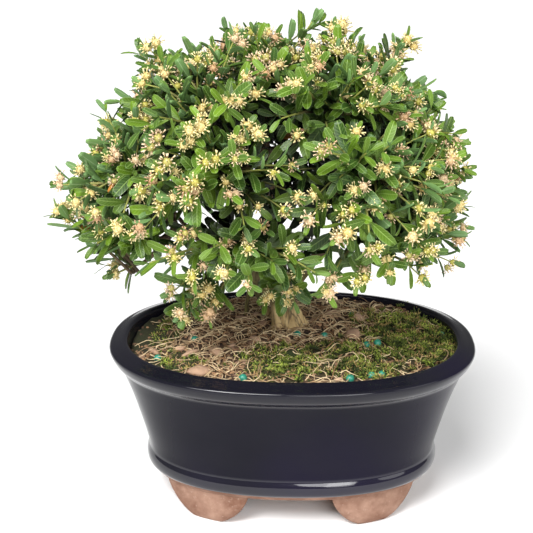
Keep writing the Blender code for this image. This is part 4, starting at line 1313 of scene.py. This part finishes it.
# %% Twig material
def twig_material():
    """Olive green where the shoot is young, brown and rough where it is old, darkened by painted shade
    deep in the crown and low on it.
    """
    made, graph, shader = new_material("young_twig", 0.6)
    place = graph.add("ShaderNodeTexCoord").outputs["Object"]
    spots = mottled(graph, place, 200.0, 1800.0, 1.6)
    old = graph.mix(spots.outputs["Blotches"], colour(0.065, 0.042, 0.020), colour(0.20, 0.135, 0.06))
    young = graph.mix(spots.outputs["Blotches"], colour(0.17, 0.21, 0.03), colour(0.38, 0.38, 0.09))
    base = graph.mix(graph.ease(graph.number("youth"), 0.15, 0.75), old, young)
    # Painted shade: darker deep inside the crown and low on it.
    shade = graph.group(CROWN_SHADE, {"Place": place}).outputs["Shade"]
    base = graph.mix(1.0, base, shade, "MULTIPLY")
    wire(graph, shader, Base_Color=base, Normal=graph.bump(spots.outputs["Height"], 0.5, 0.2 * MM))
    return made


TWIG = twig_material()
print("material:", TWIG.name)

# %% [markdown]
# ## How a shoot grows
# This tree dresses any chain of points as a leafy boxwood shoot, and it follows how the plant does it.
# Leaves stand in opposite pairs, and each pair is turned a quarter from the last. They open wide on the
# older wood and stay close to the tip, where they are also smaller and fresher. Flower heads sit at the
# tip, often two together, and in some leaf axils. At each place a direction along the leaf and one for
# its upper face make the rotation, and the face is lifted a little towards the sky, because leaves turn
# to the light.

# %% The tree that dresses a shoot
# The smallest and largest head in an axil and at a tip, as shares of the master's size.
SIDE_HEAD_SIZES, TIP_HEAD_SIZES = (0.60, 0.90), (0.66, 1.0)
# Many tips carry two heads side by side: what share of the flowering tips, and where the second one sits.
TWIN_SHARE = 0.6
TWIN_SHIFT = (5.2 * MM, 1.0 * MM, -1.6 * MM)


def shoot_tree():
    """Dresses each chain of points as a shoot: a twig, pairs of leaves, and flower heads."""
    tree, graph, given = geometry_tree("leafy shoot", {
        "Leaves": "Collection", "Flowers": "Collection", "Pair Spacing": "Float", "Bare Share": "Float",
        "Closed Angle": "Float", "Open Angle": "Float", "Lift": "Float", "Twig Radius": "Float",
        "Tip Flowers": "Float", "Side Flowers": "Float", "Seed": "Int", "Leaf Finish": "Material",
        "Flower Finish": "Material", "Twig Finish": "Material"})

    def chance(low, high, offset):
        return random_number(graph, low, high, graph.math("ADD", given["Seed"], float(offset)))

    def number_on(name):
        return graph.add("GeometryNodeInputNamedAttribute", {"Name": name}, data_type="FLOAT").outputs[0]

    curve = graph.add("GeometryNodeMeshToCurve", {0: given["Geometry"]}).outputs[0]
    curve = graph.add("GeometryNodeResampleCurve", {"Curve": curve, "Length": given["Pair Spacing"]},
                      mode="LENGTH").outputs[0]
    spline = graph.add("GeometryNodeSplineParameter")
    along, index = spline.outputs["Factor"], spline.outputs["Index"]
    ahead = graph.add("GeometryNodeInputTangent").outputs[0]
    normal = graph.add("GeometryNodeInputNormal").outputs[0]
    youth = graph.ease(along, 0.42, 0.96)
    quarter_turns = graph.math("MULTIPLY", index, math.pi / 2)
    azimuth = graph.math("ADD", graph.math("ADD", quarter_turns, number_on("phase")), chance(-0.3, 0.3, 1))

    thick = graph.math("MULTIPLY", given["Twig Radius"], graph.ease(along, 0.0, 1.0, 1.6, 0.55))
    circle = graph.add("GeometryNodeCurvePrimitiveCircle", {"Resolution": 5, "Radius": 1.0}).outputs[0]
    stems = stored(graph, curve, "youth", along, "POINT")
    stems = graph.add("GeometryNodeCurveToMesh", {"Curve": stems, "Profile Curve": circle, "Scale": thick,
                                                  "Fill Caps": True}).outputs[0]
    stems = graph.add("GeometryNodeSetShadeSmooth", {0: stems}).outputs[0]
    parts = [realized(graph, stems, given["Twig Finish"])]

    leaf_shapes, flower_shapes = shelf_of(graph, given["Leaves"]), shelf_of(graph, given["Flowers"])

    def heads(here, stood, sizes, seed, shift=(0, 0, 0)):
        """Flower heads at the chosen points, each with its own size and tint, moved aside by a shift."""
        copies = graph.add("GeometryNodeInstanceOnPoints", {
            "Points": curve, "Selection": here, "Instance": flower_shapes, "Pick Instance": True,
            "Rotation": stood, "Scale": chance(*sizes, seed)}).outputs[0]
        copies = graph.add("GeometryNodeTranslateInstances", {"Instances": copies, "Translation": shift,
                                                              "Local Space": True}).outputs[0]
        copies = stored(graph, copies, "tint", chance(0.0, 1.0, seed + 1))
        return realized(graph, copies, given["Flower Finish"])

    leafy = graph.math("GREATER_THAN", along, given["Bare Share"])
    sky = graph.add("ShaderNodeCombineXYZ", {2: given["Lift"]}).outputs[0]
    for side in (0, 1):
        seeds = 10 + 20 * side
        turn = graph.math("ADD", azimuth, side * math.pi)
        away = graph.add("ShaderNodeVectorRotate", {"Vector": normal, "Axis": ahead, "Angle": turn},
                         rotation_type="AXIS_ANGLE").outputs[0]
        opening = graph.add("ShaderNodeMapRange", {0: along, 1: 0.6, 2: 1.0, 3: given["Open Angle"],
                                                   4: given["Closed Angle"]}).outputs[0]
        opening = graph.math("ADD", opening, chance(-0.22, 0.22, seeds))
        cosine, sine = graph.math("COSINE", opening), graph.math("SINE", opening)
        length_way = graph.vector("ADD", graph.vector("SCALE", ahead, scale=cosine),
                                  graph.vector("SCALE", away, scale=sine))
        upper = graph.vector("SUBTRACT", graph.vector("SCALE", ahead, scale=sine),
                             graph.vector("SCALE", away, scale=cosine))
        upper = graph.vector("ADD", upper, sky)
        turned = graph.add("FunctionNodeAxesToRotation", {0: length_way, 1: upper}, primary_axis="Y",
                           secondary_axis="Z").outputs[0]
        size = graph.math("MULTIPLY", graph.ease(along, 0.72, 1.0, 1.0, 0.62), chance(0.76, 1.20, seeds + 1))
        copies = graph.add("GeometryNodeInstanceOnPoints", {
            "Points": curve, "Selection": leafy, "Instance": leaf_shapes, "Pick Instance": True,
            "Rotation": turned, "Scale": size}).outputs[0]
        # Painted shade: leaves on the inner shoots get a darker tint and less of the fresh green.
        light = graph.math("ADD", graph.math("MULTIPLY", number_on("outer"), 0.7), 0.3)
        copies = stored(graph, copies, "tint", graph.math("MULTIPLY", chance(0.0, 1.0, seeds + 2), light))
        fresh = graph.math("MULTIPLY", youth, light)
        fresh = graph.math("MULTIPLY", fresh, chance(0.30, 1.25, seeds + 3), clamp=True)
        copies = stored(graph, copies, "youth", fresh)
        parts.append(realized(graph, copies, given["Leaf Finish"]))

        outward = graph.vector("ADD", graph.vector("SCALE", ahead, scale=0.5), away)
        stood = graph.add("FunctionNodeAlignRotationToVector", {"Vector": outward}, axis="Z").outputs[0]
        drawn = graph.math("LESS_THAN", chance(0.0, 1.0, seeds + 4), given["Side Flowers"])
        near_tip = graph.math("GREATER_THAN", along, 0.5)
        here = graph.math("MULTIPLY", graph.math("MULTIPLY", drawn, near_tip), number_on("outer"))
        parts.append(heads(here, stood, SIDE_HEAD_SIZES, seeds + 5))

    stood = graph.add("FunctionNodeAlignRotationToVector", {"Vector": ahead}, axis="Z").outputs[0]
    at_tip = graph.math("MULTIPLY", graph.math("GREATER_THAN", along, 0.999), number_on("outer"))
    drawn = chance(0.0, 1.0, 60)
    for share, shift in ((1.0, (0, 0, 0)), (TWIN_SHARE, TWIN_SHIFT)):
        here = graph.math("LESS_THAN", drawn, graph.math("MULTIPLY", given["Tip Flowers"], share))
        parts.append(heads(graph.math("MULTIPLY", here, at_tip), stood, TIP_HEAD_SIZES, 61, shift))

    joined = graph.add("GeometryNodeJoinGeometry")
    for part in reversed(parts):
        tree.links.new(part, joined.inputs[0])
    graph.add("NodeGroupOutput", {0: joined.outputs[0]})
    return tree


SHOOT = shoot_tree()
print("tree:", SHOOT.name, "with", len(SHOOT.nodes), "nodes")

# %% Grow every spray
SHOOT_VALUES = {
    "Leaves": leaves, "Flowers": flowers, "Pair Spacing": 6.2 * MM, "Bare Share": 0.2, "Closed Angle": 0.55,
    "Open Angle": 1.02, "Lift": 0.55, "Twig Radius": 0.62 * MM, "Tip Flowers": 0.70, "Side Flowers": 0.11,
    "Leaf Finish": LEAF, "Flower Finish": FLOWER, "Twig Finish": TWIG}


def grow_spray(number, name):
    """A fine spray: its chains of points, dressed by the shoot tree."""
    shoots = sprays[name]["shoots"]
    made = chains(name.replace("spray", "leafy"), [shoot["chain"] for shoot in shoots],
                  phase=[shoot["phase"] for shoot in shoots], outer=[shoot["outer"] for shoot in shoots])
    grow(made, SHOOT, {**SHOOT_VALUES, "Seed": 1000 + 97 * number})
    dress(made, "foliage", name)


for number, name in enumerate(sprays):
    grow_spray(number, name)

# %% [markdown]
# ## The wood
# Trunk, leaders and branches grew as one piece, and their joints flow into each other. Tubes that merely
# cross would show hard seams. So the tubes are put together and remeshed as one skin of small voxels,
# which melts the joints, and then the skin's points are pushed in and out by noise that is stretched
# along the trunk: the furrows of bark.

# %% Tubes for the trunk, leaders and branches
FORK = Vector((-6 * MM, 12 * MM, 111 * MM))
LEADERS = {
    "left": (Vector((-62 * MM, -4 * MM, 156 * MM)), 4.4 * MM),
    "middle": (Vector((-14 * MM, 2 * MM, 196 * MM)), 5.0 * MM),
    "right": (Vector((40 * MM, 2 * MM, 162 * MM)), 4.0 * MM),
    "back": (Vector((-20 * MM, 34 * MM, 166 * MM)), 3.6 * MM),
}
# Slim olive stems that rise from the root beside the trunk: foot, end and radius in millimetres.
SLIM_STEMS = [((-9, 22, 86), (-34, 26, 132), 2.6), ((-27, 30, 84), (-24, 25, 122), 1.5)]
FLUTES = 5
TRUNK_SIDES, TRUNK_RINGS, TRUNK_RING_STEP = 60, 34, 1.15 * MM
ROOT_DEPTH = 14 * MM
TRUNK_RADIUS, ROOT_SPREAD, FLUTE_DEPTH = 7.0 * MM, 3.2 * MM, 1.1 * MM
RIB_DEPTH, FLARE_REACH = 0.45 * MM, 1.6 * MM


def curve_between(start, bend, end, count):
    """Points along a curve from start to end that is drawn towards the bend."""
    steps = [step / count for step in range(count + 1)]
    return [start * (1 - t) ** 2 + bend * 2 * t * (1 - t) + end * t ** 2 for t in steps]


def tube(path, radii, sides):
    """Points and faces of a closed tube of rings along a path."""
    rings = []
    for index, (point, radius) in enumerate(zip(path, radii)):
        ahead = (path[min(len(path) - 1, index + 1)] - path[max(0, index - 1)]).normalized()
        side = ahead.cross(Vector((0, 1, 0.1))).normalized()
        up = ahead.cross(side)
        turns = [2 * math.pi * step / sides for step in range(sides)]
        rings.append([point + radius * (side * math.cos(turn) + up * math.sin(turn)) for turn in turns])
    return loft(rings)


def trunk_rings():
    """The fluted trunk from below the soil up to the fork, with roots that flare at the soil."""
    rings = []
    for level in range(TRUNK_RINGS):
        height = SOIL_CROWN - ROOT_DEPTH + level * TRUNK_RING_STEP
        above = (height - SOIL_CROWN) / (FORK.z - SOIL_CROWN)
        axis = TRUNK_FOOT.lerp(FORK, max(0.0, above))
        loop = []
        for step in range(TRUNK_SIDES):
            turn = 2 * math.pi * step / TRUNK_SIDES
            radius = TRUNK_RADIUS + ROOT_SPREAD * max(0.0, 1 - max(0.0, above)) ** 2
            radius += FLUTE_DEPTH * (1 - 0.5 * max(0.0, above)) * math.sin(FLUTES * turn + 1.1)
            radius += RIB_DEPTH * math.sin(11 * turn + 3 * above)
            flare = math.exp(-max(0.0, above + 0.1) * 5)
            radius += FLARE_REACH * flare * max(0.0, math.sin(FLUTES * turn + 1.1)) ** 2
            if above > 1:
                radius *= max(0.35, 1 - (above - 1) * 3)
            loop.append(Vector((axis.x + radius * math.cos(turn), axis.y + radius * math.sin(turn), height)))
        rings.append(loop)
    return rings


def wood_tubes():
    """Every tube of the wood: trunk, four leaders, two slim stems, and a branch to each spray's heart."""
    tubes, starts = [loft(trunk_rings())], []
    for end, radius in LEADERS.values():
        start = FORK - Vector((0, 0, 6 * MM))
        bend = start.lerp(end, 0.35)
        bend.z = start.z + (end.z - start.z) * 0.62
        path = curve_between(start, bend, end, 20)
        tubes.append(tube(path, [radius + (2.0 * MM - radius) * n / 20 for n in range(21)], 12))
        starts += path[6:]
    for foot_at, end, radius in SLIM_STEMS:
        path = curve_between(Vector(foot_at) * MM, (Vector(foot_at) * 0.45 + Vector(end) * 0.55) * MM
                             + Vector((0, 0, 6 * MM)), Vector(end) * MM, 12)
        tubes.append(tube(path, [radius * MM * (1 - 0.35 * n / 12) for n in range(13)], 10))
    for spray in sprays.values():
        heart = spray["heart"]
        start = min(starts, key=lambda p: (heart - p).length + 0.6 * max(0.0, 10 * MM - (heart.z - p.z)))
        bend = start.lerp(heart, 0.5) + Vector((0, 0, -0.12 * (heart - start).length))
        radii = [(2.0 - 0.08 * n) * MM for n in range(11)]
        tubes.append(tube(curve_between(start, bend, heart, 10), radii, 8))
    return tubes


wood = wood_tubes()
print(len(wood), "tubes of wood")

# %% One skin, with furrowed bark
WOOD_VOXEL = 0.75 * MM
# In millimetres, how deep the furrows are on the branches, how much deeper at the root, and the fine grain.
FURROWS_ABOVE, FURROWS_BELOW, FINE_GRAIN = 0.18, 0.45, 0.10


def make_wood():
    """Joins the tubes as one skin, and cuts furrows into it."""
    points, faces = [], []
    for tube_points, tube_faces in wood:
        faces += [tuple(corner + len(points) for corner in face) for face in tube_faces]
        points += tube_points
    made = mesh_object("wood", points, faces)
    face_outwards(made)
    skin = made.modifiers.new("skin", "REMESH")
    skin.mode, skin.voxel_size = "VOXEL", WOOD_VOXEL
    calm = made.modifiers.new("calm", "SMOOTH")
    calm.factor, calm.iterations = 0.5, 3
    settle(made)
    furrows = []
    normals = [vertex.normal.copy() for vertex in made.data.vertices]
    for vertex, normal in zip(made.data.vertices, normals):
        place = vertex.co.copy()
        stretched = Vector((place.x * 420, place.y * 420, place.z * 75))
        ridge = abs(noise.noise(stretched)) * 2 - 0.45
        fine = noise.noise(place * 900)
        low = max(0.0, min(1.0, (FORK.z + 8 * MM - place.z) / (30 * MM)))
        deep = FURROWS_ABOVE + FURROWS_BELOW * low
        vertex.co = place + normal * (deep * ridge + FINE_GRAIN * fine) * MM
        furrows.append(max(0.0, min(1.0, 0.5 + ridge)))
    mark(made, "ridge", furrows)
    made.data.materials.append(bark_material())
    made.data.shade_smooth()
    dress(made, "bark", "trunk_and_branches")


def bark_material():
    """Golden tan on the root flare, olive on the stems above it, brown on the branches, and darker in
    furrows: partly the bark's own colour, partly painted shade.
    """
    made, graph, shader = new_material("boxwood_bark", 0.72)
    place = graph.add("ShaderNodeTexCoord").outputs["Object"]
    height = graph.add("ShaderNodeSeparateXYZ", {0: place}).outputs["Z"]
    spots = mottled(graph, place, 150.0, 1400.0, 2.0)
    tan = graph.mix(spots.outputs["Blotches"], colour(0.36, 0.235, 0.090), colour(0.72, 0.54, 0.27))
    olive = graph.mix(spots.outputs["Blotches"], colour(0.105, 0.090, 0.026), colour(0.26, 0.225, 0.075))
    brown = graph.mix(spots.outputs["Blotches"], colour(0.060, 0.036, 0.020), colour(0.18, 0.115, 0.06))
    axis = tuple(POT_AT + Vector((TRUNK_FOOT.x, TRUNK_FOOT.y, 0)))
    flat = graph.vector("MULTIPLY", graph.vector("SUBTRACT", place, axis), (1, 1, 0))
    from_axis = graph.add("ShaderNodeVectorMath", {0: flat}, operation="LENGTH").outputs["Value"]
    on_trunk = graph.math("MULTIPLY", graph.ease(from_axis, 13 * MM, 16 * MM, 1.0, 0.0),
                          graph.ease(height, 103 * MM, 112 * MM, 1.0, 0.0))
    upper = graph.mix(graph.ease(height, 118 * MM, 140 * MM), olive, brown)
    base = graph.mix(on_trunk, upper, tan)
    # Darker in the furrows: partly the bark's own colour, partly painted shade in the creases.
    ridge = graph.number("ridge")
    base = graph.mix(graph.ease(ridge, 0.05, 0.5, 0.75, 0.0), base, colour(0.035, 0.022, 0.010))
    wire(graph, shader, Base_Color=base, Normal=graph.bump(spots.outputs["Height"], 0.6, 0.5 * MM))
    return made


make_wood()

# %% [markdown]
# ## Floor, light and camera
# The plant stands on a plain pale floor, lit as in a soft studio. A very soft sun high on the left
# brightens the crown's top, and a low one on the right reaches the soil beneath the crown. Two weak lamps
# soften the shadows, and a small window low on the right shows in the glossy belt. The camera looks at
# the middle of the plant, a little from above, through a long lens as a product photographer would use.

# %% Studio
CAMERA_DISTANCE = 600 * MM
CAMERA_ELEVATION = math.radians(19.4)
CAMERA_TURN = math.radians(1.8)
CAMERA_AIM = Vector((-14 * MM, 0, 133 * MM))
LENS, SENSOR = 75.0, 36.0
FLOOR_HALF = 40
# Each sun: its tilt from upright and its turn in degrees, its strength, and how wide it looks in degrees.
SUNS = {"front_left": (38, -24, 3.0, 25), "front_right": (60, 16, 1.7, 30)}
# Each lamp: where it is and where it aims in metres, its size in metres and its power in watts.
LAMPS = {
    "key": ((-0.55, -0.75, 0.95), (0, 0, 0.15), 0.5, 7.0),
    "fill": ((0.9, -0.5, 0.5), (0, 0, 0.12), 0.6, 2.0),
    "window": ((0.34, -0.9, 0.30), (0, 0, 0.09), 0.28, 0.8),
}
SURROUND = 0.22


def area_light(name, place, aim, size, power):
    """A round lamp that faces its aim."""
    data = bpy.data.lights.new(name, "AREA")
    data.shape, data.size, data.energy = "DISK", size, power
    lamp = bpy.data.objects.new(name, data)
    lamp.location = place
    lamp.rotation_euler = (Vector(aim) - Vector(place)).to_track_quat("-Z", "Y").to_euler()
    bpy.context.scene.collection.objects.link(lamp)


def sun_light(name, tilt, turn, energy, angle):
    """A soft even light over plant and floor alike."""
    data = bpy.data.lights.new(name, "SUN")
    data.energy, data.angle = energy, math.radians(angle)
    sun = bpy.data.objects.new(name, data)
    sun.rotation_euler = (math.radians(tilt), 0, math.radians(turn))
    bpy.context.scene.collection.objects.link(sun)


def make_floor():
    """A wide pale floor that belongs to the studio, not to the plant."""
    corners = [(x * FLOOR_HALF, y * FLOOR_HALF, 0) for x, y in ((-1, -1), (1, -1), (1, 1), (-1, 1))]
    floor = mesh_object("floor", corners, [(0, 1, 2, 3)])
    made, _, shader = new_material("studio_floor", 0.9)
    shader.inputs["Base Color"].default_value = colour(0.93, 0.93, 0.93)
    floor.data.materials.append(made)


def make_camera():
    """A long lens that looks at the middle of the plant."""
    data = bpy.data.cameras.new("camera")
    data.lens, data.sensor_width = LENS, SENSOR
    camera = bpy.data.objects.new("camera", data)
    back = Vector((0, -math.cos(CAMERA_ELEVATION), math.sin(CAMERA_ELEVATION)))
    turn = Matrix.Rotation(CAMERA_TURN, 3, "Z")
    camera.location = POT_AT + turn @ (CAMERA_AIM + back * CAMERA_DISTANCE)
    camera.rotation_euler = (turn @ -back).to_track_quat("-Z", "Y").to_euler()
    bpy.context.scene.collection.objects.link(camera)
    bpy.context.scene.camera = camera


def make_surround():
    """An even white surround."""
    world = bpy.data.worlds.new("studio")
    world.use_nodes = True
    surround = world.node_tree.nodes["Background"]
    surround.inputs["Color"].default_value = colour(1.0, 1.0, 1.0)
    surround.inputs["Strength"].default_value = SURROUND
    bpy.context.scene.world = world


make_floor()
make_surround()
for name, values in SUNS.items():
    sun_light(name, *values)
for name, values in LAMPS.items():
    area_light(name, *values)
make_camera()
bpy.context.scene.view_settings.view_transform = "Standard"
print("camera at", [round(value, 3) for value in bpy.context.scene.camera.location])
